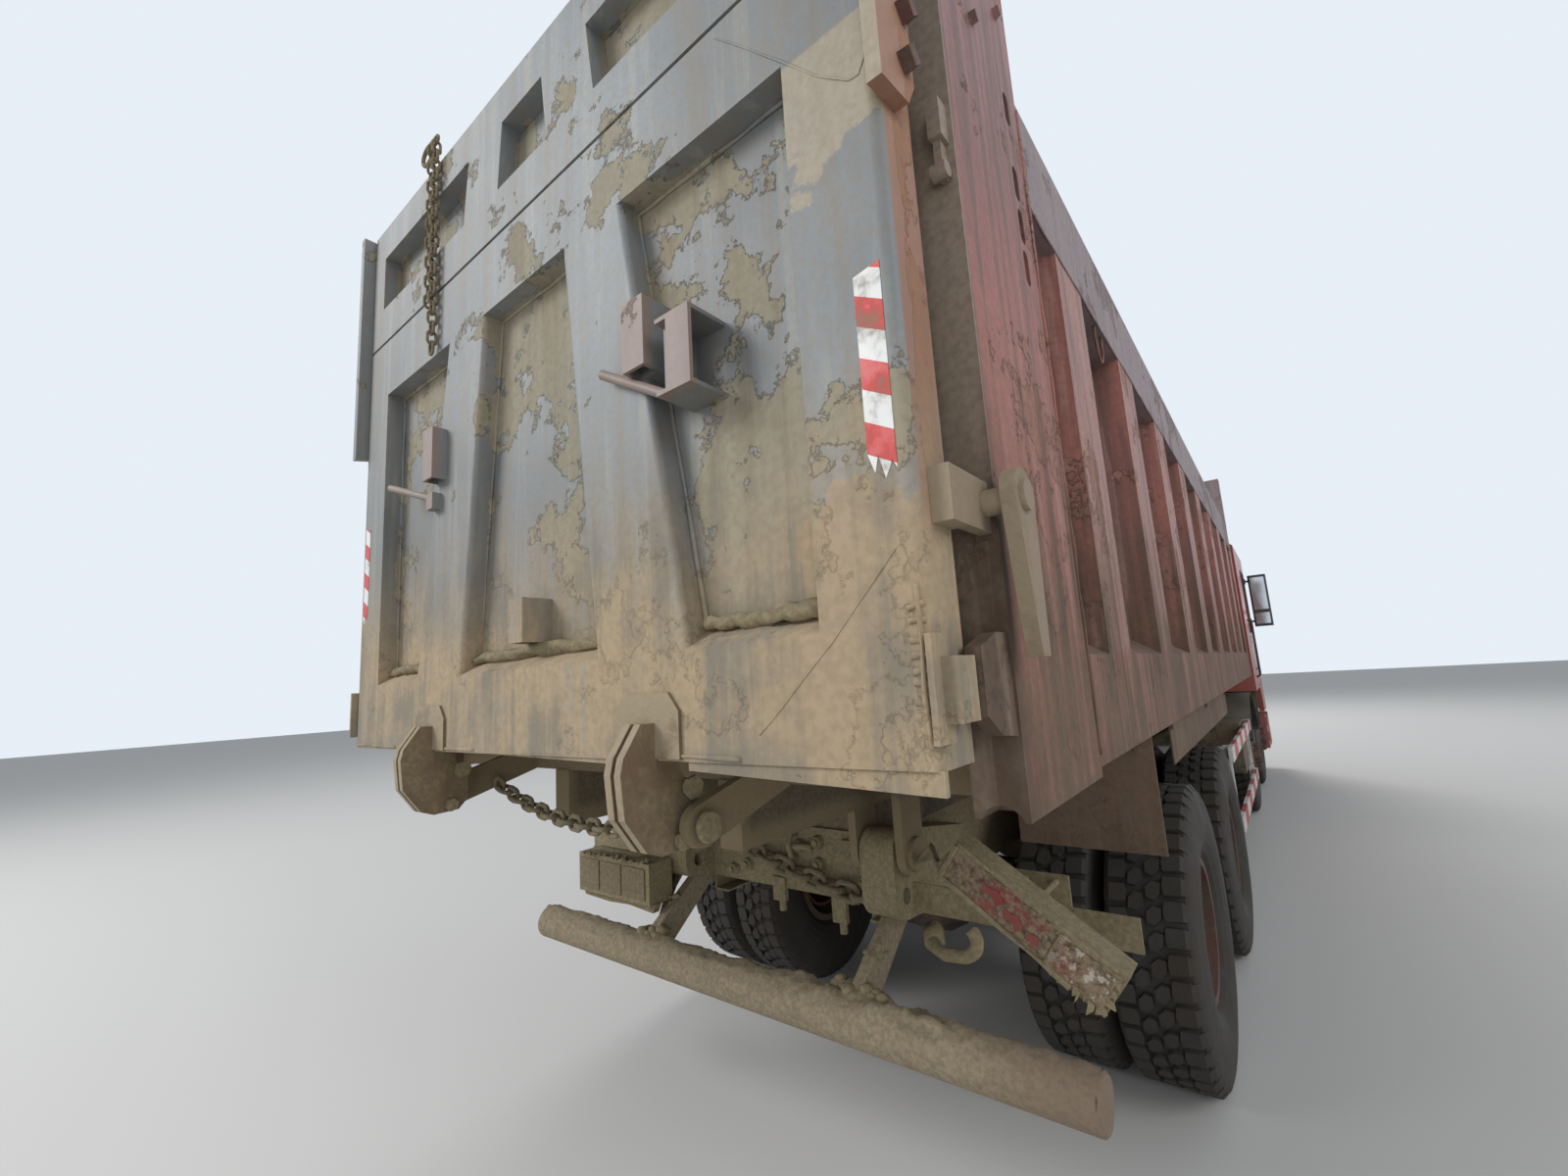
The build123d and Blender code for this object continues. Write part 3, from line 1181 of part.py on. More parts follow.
# Cab roof, domed by a loft and rounded at its edges
with BuildPart() as cab_roof:
    roof_y = (at(cab_rear_station), at(cab_front_station_high))
    roof_middle = (roof_y[0] + roof_y[1]) / 2
    roof_length = roof_y[1] - roof_y[0]
    with BuildSketch(Plane.XY.offset(cab_roof_z + seat_gap)):
        with Locations((0, roof_middle)):
            RectangleRounded(2 * cab_half_width, roof_length, 30)
    with BuildSketch(Plane.XY.offset(cab_roof_z + cab_roof_rise)):
        with Locations((0, roof_middle - 30)):
            RectangleRounded(2 * cab_half_width - 160, roof_length - 160, 60)
    loft()
    front_edge_y = roof_y[1]
    slab_yz((-cab_half_width + 60, cab_half_width - 60), [
        (front_edge_y - 30, cab_roof_z + 4),
        (front_edge_y + 8, cab_roof_z + 4),
        (front_edge_y + 130, cab_roof_z - 90),
        (front_edge_y + 136, cab_roof_z - 80),
        (front_edge_y - 30, cab_roof_z + 40),
    ])
write(cab_roof.part, "cab_roof")

# Doors with a window opening, and their panes
window_frame = 70
door_front_gap = 12
door_y = (door_opening[0] + panel_gap, door_opening[1] - door_front_gap)
window_y = (door_y[0] + window_frame, door_y[1] - window_frame)
window_top_z = door_top_z - panel_gap - window_frame
with BuildPart() as door:
    block(cab_side_x, door_y, (door_bottom_z + panel_gap, door_top_z - panel_gap))
    block((cab_side_x[0] - 1, cab_side_x[1] + 1), window_y, (door_sill_z, window_top_z), mode=Mode.SUBTRACT)
    block((cab_side_x[0] - 1, cab_side_x[0] + 15), (door_y[0] + 110, door_y[1] - 110), (1400, 1800),
          mode=Mode.SUBTRACT)
    block((cab_side_x[1] - 12, cab_side_x[1] + 1), (door_y[0] + 50, door_y[0] + 210), (1800, 1870),
          mode=Mode.SUBTRACT)
    block((cab_side_x[1] - 13, cab_side_x[1]), (door_y[0] + 60, door_y[0] + 190), (1845, 1862))
    fillet(door.edges().filter_by(Axis.X).group_by(Axis.Z)[-1], 40)
write_pair(door.part, "door")
with BuildPart() as door_glass:
    glass_x = cab_side_x[0] + 26
    block((glass_x, glass_x + glass_thickness), (window_y[0] + seat_gap, window_y[1] - seat_gap),
          (door_sill_z + seat_gap, window_top_z - seat_gap))
write_pair(door_glass.part, "door_glass")

# Windscreen and rear pane
with BuildPart() as cab_glass:
    front_slab((-screen_half_width + seat_gap, screen_half_width - seat_gap),
               (screen_z[0] + seat_gap, screen_z[1] - seat_gap), (18, 18 + glass_thickness))
    block((-500 + seat_gap, 500 - seat_gap),
          (at(cab_rear_station) + 20, at(cab_rear_station) + 20 + glass_thickness),
          (2150 + seat_gap, 2650 - seat_gap))
write(cab_glass.part, "cab_glass")

# Seats either side of the tunnel and the bunk behind them
seat_x = 760
with BuildPart() as seats:
    for side in (-1, 1):
        middle = side * seat_x
        floor_top_z = cab_floor_z + 60 + seat_gap
        block((middle - 190, middle + 190), (at(9560), at(9960)), (floor_top_z, 1500))
        block((middle - 250, middle + 250), (at(9500), at(10010)), (1499, 1640))
        slab_yz((middle - 240, middle + 240), [
            (at(9500), 1600), (at(9640), 1600), (at(9560), 2250), (at(9450), 2250),
        ])
        slab_yz((middle - 140, middle + 140), [
            (at(9450), 2249), (at(9550), 2249), (at(9530), 2440), (at(9455), 2440),
        ])
    bunk_y = (at(cab_rear_station) + 60, at(9330))
    block((-floor_x + 5, floor_x - 5), bunk_y, (tunnel_top_z + seat_gap, tunnel_top_z + 150))
    for side in (-1, 1):
        chest_x = sorted((side * (tunnel_half_width + 20), side * (floor_x - 10)))
        block(chest_x, bunk_y, (floor_top_z, tunnel_top_z + 1))
write(seats.part, "seats")

# Dashboard with the steering wheel on its column
with BuildPart() as dashboard:
    dash_front_y = cab_front_inner_low - seat_gap
    slab_yz((-floor_x + 3, floor_x - 3), [
        (dash_front_y, 1620),
        (dash_front_y, 1925),
        (at(10520), 1940),
        (at(10400), 1900),
        (at(10380), 1780),
        (at(10480), 1620),
    ])
    block((-tunnel_half_width + 60, tunnel_half_width - 60), (at(10450), at(10600)),
          (tunnel_top_z + seat_gap, 1621))
    wheel_centre = (-seat_x, at(10180), 1900)
    column_foot = (-seat_x, at(10460), 1700)
    rod(wheel_centre, column_foot, 32)
    wheel_plane = Plane(origin=wheel_centre, x_dir=(1, 0, 0),
                        z_dir=Vector(*column_foot) - Vector(*wheel_centre))
    with BuildSketch(wheel_plane.offset(-12)) as wheel_ring:
        Circle(235)
        Circle(205, mode=Mode.SUBTRACT)
    extrude(wheel_ring.sketch, amount=26)
    with BuildSketch(wheel_plane.offset(-4)) as spokes:
        Rectangle(420, 34)
        Circle(70)
    extrude(spokes.sketch, amount=16)
write(dashboard.part, "dashboard")

# Mirrors on brackets from the front pillars
with BuildPart() as mirrors:
    with BuildSketch(Plane.XY.offset(2060)) as housing:
        with Locations((1400, at(10570))):
            RectangleRounded(220, 90, 25)
    extrude(housing.sketch, amount=760)
    block((1310, 1490), (at(10524), at(10527)), (2300, 2790), mode=Mode.SUBTRACT)
    block((1310, 1490), (at(10524), at(10527)), (2090, 2260), mode=Mode.SUBTRACT)
    for arm_z in (2140, 2740):
        rod((cab_half_width + 6, at(10560), arm_z), (1300, at(10565), arm_z), 15)
        block((cab_half_width + seat_gap, cab_half_width + 14), (at(10530), at(10590)),
              (arm_z - 40, arm_z + 40))
    mirror(about=Plane.YZ)
write(mirrors.part, "mirrors")
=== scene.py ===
"""Looks of the dump truck: materials, tyre tread, fittings, floor, light and camera."""

import math
import random

import bmesh
import bpy
from mathutils import Matrix, Vector, noise


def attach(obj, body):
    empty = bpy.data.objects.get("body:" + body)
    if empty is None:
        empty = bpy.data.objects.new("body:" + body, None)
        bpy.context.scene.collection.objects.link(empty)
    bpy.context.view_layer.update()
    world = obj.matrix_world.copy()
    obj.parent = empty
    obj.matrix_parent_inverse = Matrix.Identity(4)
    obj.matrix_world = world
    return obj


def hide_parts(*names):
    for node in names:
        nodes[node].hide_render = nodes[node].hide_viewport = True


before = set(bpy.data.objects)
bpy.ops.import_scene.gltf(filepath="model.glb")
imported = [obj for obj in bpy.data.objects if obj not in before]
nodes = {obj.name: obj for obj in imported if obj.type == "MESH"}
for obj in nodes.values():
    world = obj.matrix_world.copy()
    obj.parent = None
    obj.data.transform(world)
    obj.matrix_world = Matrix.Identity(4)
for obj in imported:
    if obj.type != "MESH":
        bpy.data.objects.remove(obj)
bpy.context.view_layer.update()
random.seed(7)
REAR = -5.2875
SIDES = (("right", 1), ("left", -1))


def at(station):
    """Y of a place measured in metres forward of the bed's rear posts."""
    return REAR + station


# Places of the solids that the fittings sit on, in metres; pins as (y, z)
AXLE_Z = 0.5625
GATE_FACE = at(-0.227)
GATE_PANEL = at(-0.162)
GATE_PIN = (at(-0.11), 3.605)
BED_PIN = (at(0.80), 1.08)
LUG_PIN = (at(-0.146), 1.361)
BED_SKIN = 1.25
DOOR_SKIN = 1.245
END_PLATE = at(0.89)
PIPE_Y, PIPE_Z, PIPE_REACH = at(0.56), 0.65, 0.0640
CHAIN_Y = GATE_FACE - 0.0201
CAB_FRONT = at(10.8)
SCREEN_FOOT_Z, SCREEN_SLOPE = 1.93, 0.16 / 1.14
CAB_FLOOR_Z = 1.2605
SEAT_X = 0.76
BUNK_Y = (at(8.845), at(9.325))


# Materials

def material(name):
    mat = bpy.data.materials.new(name)
    mat.use_nodes = True
    tree = mat.node_tree
    tree.nodes.clear()
    out = tree.nodes.new("ShaderNodeOutputMaterial")
    shader = tree.nodes.new("ShaderNodeBsdfPrincipled")
    tree.links.new(shader.outputs[0], out.inputs[0])
    return mat, tree, shader


def put(tree, socket, value):
    """Link a socket or set a constant."""
    if isinstance(value, bpy.types.NodeSocket):
        tree.links.new(value, socket)
    elif isinstance(value, (tuple, list)) and len(value) == 3 and socket.type == "RGBA":
        socket.default_value = (*value, 1)
    else:
        socket.default_value = value


def coords(tree, stretch=(1, 1, 1)):
    place = tree.nodes.new("ShaderNodeTexCoord")
    mapping = tree.nodes.new("ShaderNodeMapping")
    mapping.inputs["Scale"].default_value = stretch
    tree.links.new(place.outputs["Object"], mapping.inputs["Vector"])
    return mapping.outputs[0]


def cloud(tree, scale, detail=6, rough=0.6, stretch=(1, 1, 1)):
    """Fractal noise from 0 to 1, fixed to the object."""
    tex = tree.nodes.new("ShaderNodeTexNoise")
    tex.inputs["Scale"].default_value = scale
    tex.inputs["Detail"].default_value = detail
    tex.inputs["Roughness"].default_value = rough
    tree.links.new(coords(tree, stretch), tex.inputs["Vector"])
    return tex.outputs[0]


def ramp(tree, value, low, high, out_low=0.0, out_high=1.0):
    node = tree.nodes.new("ShaderNodeMapRange")
    node.interpolation_type = "SMOOTHSTEP"
    put(tree, node.inputs[0], value)
    for number, limit in enumerate((low, high, out_low, out_high), 1):
        node.inputs[number].default_value = limit
    return node.outputs[0]


def calc(tree, kind, a, b):
    node = tree.nodes.new("ShaderNodeMath")
    node.operation = kind
    node.use_clamp = kind in ("ADD", "SUBTRACT", "MULTIPLY")
    put(tree, node.inputs[0], a)
    put(tree, node.inputs[1], b)
    return node.outputs[0]


def times(tree, a, b):
    return calc(tree, "MULTIPLY", a, b)


def plus(tree, a, b):
    return calc(tree, "ADD", a, b)


def mix(tree, share, a, b):
    node = tree.nodes.new("ShaderNodeMix")
    node.data_type = "RGBA"
    put(tree, node.inputs[0], share)
    put(tree, node.inputs[6], a)
    put(tree, node.inputs[7], b)
    return node.outputs[2]


def split_axes(tree, kind):
    """X, Y and Z of the place on the truck at rest (Object) or of the surface's direction (Normal)."""
    place = tree.nodes.new("ShaderNodeTexCoord")
    split = tree.nodes.new("ShaderNodeSeparateXYZ")
    tree.links.new(place.outputs[kind], split.inputs[0])
    return split.outputs


def place_share(tree, axis, low, high, out_low=0.0, out_high=1.0):
    """Share that changes along an axis of the truck at rest. SIDE is the distance from its middle plane,
    and JAG is the height with a ragged edge."""
    value = split_axes(tree, "Object")[{"X": 0, "SIDE": 0, "Y": 1, "Z": 2, "JAG": 2}[axis]]
    if axis in ("SIDE", "JAG"):
        change = tree.nodes.new("ShaderNodeMath")
        change.operation = "ABSOLUTE" if axis == "SIDE" else "MULTIPLY_ADD"
        if axis == "JAG":
            tree.links.new(cloud(tree, 5, 12, 0.68), change.inputs[0])
            change.inputs[1].default_value = 0.6
            tree.links.new(value, change.inputs[2])
        else:
            tree.links.new(value, change.inputs[0])
        value = change.outputs[0]
    return ramp(tree, value, low, high, out_low, out_high)


def zoned(tree, colour, zones):
    """Lay colours over named parts of a surface; each zone may be held within further shares."""
    for axis, low, high, out_low, out_high, over, *within in zones:
        share = place_share(tree, axis, low, high, out_low, out_high)
        for limit in within:
            share = times(tree, share, place_share(tree, *limit))
        colour = mix(tree, share, colour, over)
    return colour


def facing_up(tree):
    """Share of a surface that looks upward, where dust lies."""
    return ramp(tree, split_axes(tree, "Normal")[2], 0.25, 0.85)


def darker(colour, share):
    return tuple(c * share for c in colour)


def coat(tree, shader, colour, rough, relief=None, strength=0, distance=0):
    """Give a material its colour, roughness and relief."""
    put(tree, shader.inputs["Base Color"], colour)
    put(tree, shader.inputs["Roughness"], rough)
    if relief is not None:
        node = tree.nodes.new("ShaderNodeBump")
        node.inputs["Strength"].default_value = strength
        node.inputs["Distance"].default_value = distance
        put(tree, node.inputs["Height"], relief)
        put(tree, shader.inputs["Normal"], node.outputs[0])


RUST = (0.13, 0.06, 0.035)
DUST = (0.24, 0.20, 0.15)


def worn_paint_with_flake_shade(name, paint, worn, dust, wear, dirt, scale, rust, runs, gloss=0.55, zones=(), late_zones=(),
               bare_zone=None, stained=None):
    """Old paint: faded patches, flakes with painted shade along their edges, rust specks, rain streaks and a
    dust film. dirt gives the heights between which the film thins out, and its shares below and above them."""
    mat, tree, shader = material(name)
    broad = cloud(tree, scale * 0.6, 5, 0.55)
    flakes = cloud(tree, scale * 2.6, 12, 0.66)
    fine = cloud(tree, 55, 5, 0.6)
    streaks = cloud(tree, 7, 6, 0.62, (2.4, 2.4, 0.12))
    colour = mix(tree, ramp(tree, broad, 0.35, 0.68), paint, tuple(c * 1.35 + 0.008 for c in paint))
    colour = zoned(tree, colour, zones)
    peel = plus(tree, times(tree, flakes, 0.62), times(tree, broad, 0.38))
    if bare_zone:
        peel = plus(tree, peel, place_share(tree, *bare_zone))
    flaked = ramp(tree, peel, 1 - wear - 0.006, 1 - wear + 0.010)
    edge = times(tree, times(tree, flaked, calc(tree, "SUBTRACT", 1, flaked)), 3.2)
    colour = mix(tree, times(tree, flaked, 0.85), colour, worn)
    # Painted shade: a dark line along the border of each flake
    colour = mix(tree, edge, colour, darker(paint, 0.35))
    rusty = ramp(tree, cloud(tree, scale * 5, 10, 0.7), rust, rust + 0.07)
    colour = mix(tree, times(tree, rusty, 0.8), colour, RUST)
    colour = mix(tree, ramp(tree, streaks, 0.49, 0.63, 0, runs), colour, darker(dust, 0.5))
    faded = tuple(c * 1.2 + 0.03 for c in worn)
    colour = mix(tree, ramp(tree, streaks, 0.47, 0.34, 0, runs * 0.8), colour, faded)
    colour = zoned(tree, colour, late_zones)
    low, high, most, least = dirt
    stain = plus(tree, times(tree, cloud(tree, scale * 1.9, 9, 0.62), 0.55), times(tree, streaks, 0.45))
    stain = ramp(tree, stain, 0.44, 0.60)
    mud = mix(tree, stain, dust, stained or darker(dust, 0.66))
    film = place_share(tree, "Z", low, high, most, least)
    film = times(tree, film, ramp(tree, streaks, 0.36, 0.58, 0.5, 1))
    film = plus(tree, film, times(tree, facing_up(tree), 0.5))
    film = times(tree, film, ramp(tree, flakes, 0.32, 0.52, 0.68, 1))
    colour = mix(tree, film, colour, mud)
    colour = mix(tree, ramp(tree, fine, 0.35, 0.7, 0, 0.35), colour, darker(dust, 0.5))
    relief = plus(tree, times(tree, flaked, 0.5), times(tree, fine, 0.3))
    relief = plus(tree, relief, times(tree, flakes, 0.25))
    coat(tree, shader, colour, ramp(tree, plus(tree, film, flaked), 0, 1, gloss, 0.93), relief, 0.7, 0.005)
    return mat


def caked_steel(name, mud, steel, amount, metallic=0.0, zones=(), rim=None):
    """Steel or iron under dried mud, thicker in patches."""
    mat, tree, shader = material(name)
    lumps = cloud(tree, 9, 10, 0.66)
    fine = cloud(tree, 70, 6, 0.65)
    cover = ramp(tree, lumps, 1 - amount - 0.14, 1 - amount + 0.06)
    shade = mix(tree, ramp(tree, fine, 0.3, 0.7), darker(mud, 0.62), mud)
    colour = mix(tree, cover, zoned(tree, steel, zones), zoned(tree, shade, zones))
    if rim:
        across = split_axes(tree, "Normal")[0]
        edge = ramp(tree, times(tree, across, across), 0.5, 0.1, 0, 0.8)
        colour = mix(tree, times(tree, edge, ramp(tree, lumps, 0.35, 0.5, 0.4, 1)), colour, rim)
    relief = plus(tree, times(tree, lumps, 0.7), times(tree, fine, 0.3))
    coat(tree, shader, colour, ramp(tree, cover, 0, 1, 0.595, 0.95), relief, 0.7, 0.012)
    shader.inputs["Metallic"].default_value = metallic
    return mat


def shaded_dusty_rubber(name, dust, amount):
    mat, tree, shader = material(name)
    film = ramp(tree, cloud(tree, 4, 9, 0.62), 1 - amount - 0.25, 1 - amount + 0.2)
    fine = cloud(tree, 120, 4, 0.6)
    colour = mix(tree, film, (0.016, 0.0145, 0.013), dust)
    colour = mix(tree, ramp(tree, fine, 0.4, 0.7, 0, 0.35), colour, (0.012, 0.011, 0.010))
    coat(tree, shader, colour, ramp(tree, film, 0, 1, 0.62, 0.95), fine, 0.25, 0.002)
    return mat


def bright_steel(name, colour, rough):
    """Ground or plated steel with a brushed grain and light dust."""
    mat, tree, shader = material(name)
    grain = cloud(tree, 60, 4, 0.6, (1, 1, 0.06))
    film = ramp(tree, cloud(tree, 5, 7, 0.6), 0.45, 0.75, 0, 0.5)
    dulled = ramp(tree, plus(tree, film, times(tree, grain, 0.25)), 0, 1, rough, 0.8)
    coat(tree, shader, mix(tree, film, colour, DUST), dulled, grain, 0.12, 0.001)
    shader.inputs["Metallic"].default_value = 0.9
    return mat


def moulded(name, colour, rough=0.6, dust=(0.2, 0.17, 0.13), film_share=0.5):
    """Moulded plastic or lamp lens with a fine grain and settled dust."""
    mat, tree, shader = material(name)
    fine = cloud(tree, 160, 4, 0.55)
    film = ramp(tree, cloud(tree, 3, 7, 0.6), 0.4, 0.8, 0, film_share)
    film = plus(tree, film, times(tree, facing_up(tree), 0.4))
    coat(tree, shader, mix(tree, film, colour, dust), ramp(tree, film, 0, 1, rough, 0.9), fine, 0.2, 0.001)
    return mat


def pane_glass(name):
    mat, tree, shader = material(name)
    film = ramp(tree, cloud(tree, 2.5, 8, 0.65), 0.35, 0.8, 0.08, 0.42)
    colour = mix(tree, film, (0.05, 0.065, 0.07), (0.34, 0.31, 0.26))
    coat(tree, shader, colour, ramp(tree, film, 0, 0.5, 0.04, 0.5))
    put(tree, shader.inputs["Alpha"], ramp(tree, film, 0, 0.45, 0.38, 0.8))
    shader.inputs["Specular IOR Level"].default_value = 0.7
    return mat


def weave(name, colour):
    """Woven seat cloth."""
    mat, tree, shader = material(name)
    threads = []
    for axis in ("X", "Y", "Z"):
        wave = tree.nodes.new("ShaderNodeTexWave")
        wave.bands_direction = axis
        wave.inputs["Scale"].default_value = 90
        wave.inputs["Distortion"].default_value = 1.2
        tree.links.new(coords(tree), wave.inputs["Vector"])
        threads.append(wave.outputs["Fac"])
    cloth = times(tree, plus(tree, threads[0], threads[1]), threads[2])
    worn = cloud(tree, 4, 6, 0.6)
    colour_out = mix(tree, cloth, darker(colour, 0.55), colour)
    colour_out = mix(tree, ramp(tree, worn, 0.5, 0.8, 0, 0.4), colour_out, (0.16, 0.14, 0.12))
    coat(tree, shader, colour_out, 0.95, cloth, 0.4, 0.002)
    shader.inputs["Sheen Weight"].default_value = 0.3
    return mat


MUD = (0.215, 0.170, 0.105)
BEIGE = (0.350, 0.300, 0.215)
BROWN_MUD = (0.215, 0.165, 0.095)
# Zones: axis, low, high, share below, share above, colour, and the further shares that hold it in place
gate_mat = worn_paint_with_flake_shade(
    "gate paint", (0.130, 0.158, 0.182), (0.285, 0.262, 0.188), (0.390, 0.300, 0.188), wear=0.43,
    dirt=(1.62, 2.30, 1.50, 0.20), scale=1.7, rust=0.72, runs=0.35, stained=(0.225, 0.195, 0.150),
    late_zones=[
        # Beige patch at the upper right, and mud below its ragged line on the right
        ("JAG", 2.91, 2.93, 0, 0.85, BEIGE, ("X", 0.985, 0.995), ("Z", 2.855, 2.865, 1, 0)),
        ("JAG", 2.27, 2.29, 0.85, 0, (0.375, 0.262, 0.160), ("X", 0.84, 0.90)),
        # Right hinge arm, and the gate's right flank
        ("Y", GATE_FACE - 0.034, GATE_FACE - 0.030, 0.85, 0, BEIGE, ("X", 1.1, 1.11)),
        ("X", 1.2035, 1.2045, 0, 0.85, (0.310, 0.115, 0.065), ("Y", GATE_FACE - 0.0398, GATE_FACE - 0.0390)),
        # Handle brackets between the arms
        ("Y", GATE_FACE - 0.030, GATE_FACE - 0.016, 0.6, 0, (0.260, 0.150, 0.125),
         ("SIDE", 1.1, 1.11, 1, 0))],
    bare_zone=("Y", GATE_FACE + 0.035, GATE_FACE + 0.055, 0, 0.085))
bed_mat = worn_paint_with_flake_shade(
    "bed paint", (0.270, 0.085, 0.066), (0.350, 0.180, 0.145), (0.150, 0.098, 0.064), wear=0.46,
    dirt=(1.45, 2.5, 1.25, 0.06), scale=1.5, rust=0.69, runs=0.62,
    zones=[
        # Painted shade on the skin recessed behind the ribs, on the rib flanks and on all that lies further
        # in; paler ribs, greyer rear post
        ("SIDE", 1.150, 1.235, 0.85, 0, (0.080, 0.036, 0.030)),
        ("SIDE", 1.2485, 1.2498, 0, 0.60, (0.40, 0.225, 0.195), ("Y", at(0.54), at(0.56)), ("Z", 1.67, 1.70)),
        ("Z", 2.2, 3.5, 0, 0.55, (0.255, 0.175, 0.185), ("Y", at(0.53), at(0.54), 1, 0))],
    late_zones=[
        # Painted sky reflection in blue-grey on the top rail and all above it, beige rear edge, mud on the
        # lowest edge
        ("Z", 2.868, 2.876, 0, 0.65, (0.200, 0.200, 0.225), ("Y", at(0.526), at(0.532))),
        ("Y", at(0.002), at(0.008), 0.9, 0, (0.290, 0.240, 0.185)),
        ("Z", 1.398, 1.410, 0.9, 0, (0.105, 0.082, 0.055))])
under_mat = caked_steel(
    "bed underside", (0.14, 0.11, 0.070), (0.070, 0.046, 0.034), 0.6,
    zones=[("Z", 1.24, 1.30, 0.8, 0, BROWN_MUD), ("Y", at(0.15), at(0.20), 0.8, 0, BROWN_MUD)])
cab_mat = worn_paint_with_flake_shade("cab paint", (0.30, 0.022, 0.016), (0.25, 0.045, 0.035), (0.25, 0.19, 0.14),
                     wear=0.34, dirt=(0.6, 2.4, 0.45, 0.04), scale=1.2, gloss=0.3, rust=0.80, runs=0.2)
hook_mat = caked_steel("hook mud", (0.225, 0.170, 0.098), (0.135, 0.088, 0.048), 0.46,
                       zones=[("Z", 1.60, 1.70, 0, 0.55, (0.330, 0.255, 0.180))], rim=(0.345, 0.280, 0.185))
pipe_mat = caked_steel("pipe mud", (0.285, 0.230, 0.150), (0.150, 0.115, 0.080), 0.62,
                       zones=[("X", 0.75, 1.15, 0, 0.65, (0.170, 0.115, 0.085))])
frame_mat = caked_steel("frame steel", (0.185, 0.145, 0.088), (0.050, 0.040, 0.032), 0.5)
bracket_mat = caked_steel("caked brackets", (0.270, 0.220, 0.128), (0.125, 0.095, 0.060), 0.60)
iron_mat = caked_steel("axle iron", (0.12, 0.09, 0.062), (0.035, 0.030, 0.026), 0.5)
rim_mat = caked_steel("rim paint", (0.13, 0.085, 0.062), (0.100, 0.036, 0.026), 0.50)
# Dust film on the tyres, darkened almost to black as painted shade
tyre_mat = shaded_dusty_rubber("tyre rubber", (0.038, 0.030, 0.022), 0.50)
stage_mat = bright_steel("ground steel", (0.55, 0.54, 0.52), 0.22)
tank_mat = bright_steel("tank metal", (0.42, 0.42, 0.41), 0.4)
trim_mat = moulded("dark trim", (0.02, 0.02, 0.021), 0.55)
lens_mat = moulded("red lens", (0.20, 0.014, 0.015), 0.3, MUD, 0.9)
pane_mat = pane_glass("pane")
cloth_mat = weave("seat cloth", (0.06, 0.065, 0.08))
chain_mat = caked_steel("chain steel", (0.245, 0.200, 0.125), (0.125, 0.105, 0.080), 0.62, 0.2)


def stripes(name, along, pitch, first=(0.55, 0.02, 0.02), second=(0.72, 0.72, 0.70), slant=0.0):
    """Red and white reflective tape, striped along one axis and dulled by dirt."""
    mat, tree, shader = material(name)
    axes = split_axes(tree, "Object")
    value = axes["XYZ".index(along)]
    if slant:
        lean = tree.nodes.new("ShaderNodeMath")
        lean.operation = "MULTIPLY_ADD"
        tree.links.new(axes[0], lean.inputs[0])
        lean.inputs[1].default_value = slant
        tree.links.new(value, lean.inputs[2])
        value = lean.outputs[0]
    cycle = tree.nodes.new("ShaderNodeMath")
    cycle.operation = "PINGPONG"
    tree.links.new(value, cycle.inputs[0])
    cycle.inputs[1].default_value = pitch
    band = ramp(tree, cycle.outputs[0], pitch * 0.49, pitch * 0.51)
    colour = mix(tree, band, first, second)
    grime = cloud(tree, 18, 10, 0.68)
    colour = mix(tree, ramp(tree, grime, 0.5, 0.68, 0.08, 0.75), colour, DUST)
    coat(tree, shader, colour, ramp(tree, grime, 0.4, 0.7, 0.35, 0.9), cloud(tree, 300, 2, 0.5), 0.15, 0.001)
    return mat


guard_mat = stripes("guard tape", "Y", 0.30, (0.36, 0.02, 0.018), (0.62, 0.60, 0.57))

for name, mat in {
    "chassis_frame": bracket_mat, "sub_frame": frame_mat, "underrun_bar": pipe_mat, "leaf_springs": iron_mat,
    "steer_axles": iron_mat, "drive_axles": iron_mat, "tow_chain": chain_mat, "engine": iron_mat,
    "fuel_tank": tank_mat, "chassis_boxes": frame_mat, "side_guards": guard_mat, "front_bumper": cab_mat,
    "mudguards": trim_mat, "lamps": bracket_mat, "lift_base": frame_mat, "bed_floor": under_mat,
    "lug_chain": chain_mat,
    "bed_side_right": bed_mat, "bed_side_left": bed_mat, "headboard": bed_mat, "tailgate": gate_mat,
    "lock_hooks": hook_mat, "gate_chain": chain_mat, "cab_walls": cab_mat, "cab_floor": cab_mat,
    "cab_front": cab_mat, "cab_roof": cab_mat, "cab_glass": pane_mat, "seats": cloth_mat,
    "dashboard": trim_mat, "mirrors": trim_mat, "door_right": cab_mat, "door_left": cab_mat,
    "door_glass_right": pane_mat, "door_glass_left": pane_mat,
}.items():
    nodes[name].data.materials.clear()
    nodes[name].data.materials.append(mat)
for name, node in nodes.items():
    for start, mat in (("knuckle", iron_mat), ("tyre", tyre_mat), ("twin_tyres", tyre_mat),
                       ("rim", rim_mat), ("twin_rims", rim_mat), ("lift_stage", stage_mat)):
        if name.startswith(start):
            node.data.materials.clear()
            node.data.materials.append(mat)

# Mesh building

def piece(name, bm, mat, body, smooth=False, replaces=()):
    """Turn a bmesh into an object that rides on a body."""
    mesh = bpy.data.meshes.new(name)
    bmesh.ops.recalc_face_normals(bm, faces=bm.faces)
    bm.to_mesh(mesh)
    bm.free()
    if smooth:
        mesh.polygons.foreach_set("use_smooth", [True] * len(mesh.polygons))
    mesh.materials.append(mat)
    obj = bpy.data.objects.new(name, mesh)
    bpy.context.scene.collection.objects.link(obj)
    if replaces:
        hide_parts(*replaces)
    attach(obj, body)
    return obj


def turns(count, shift=0):
    """Angles of a whole turn in equal steps."""
    return [2 * math.pi * (n + shift) / count for n in range(count)]


def skin(bm, rings):
    """Join each ring of vertices to the next."""
    for first, second in zip(rings, rings[1:]):
        count = len(first)
        for n in range(count):
            m = (n + 1) % count
            bm.faces.new((first[n], first[m], second[m], second[n]))


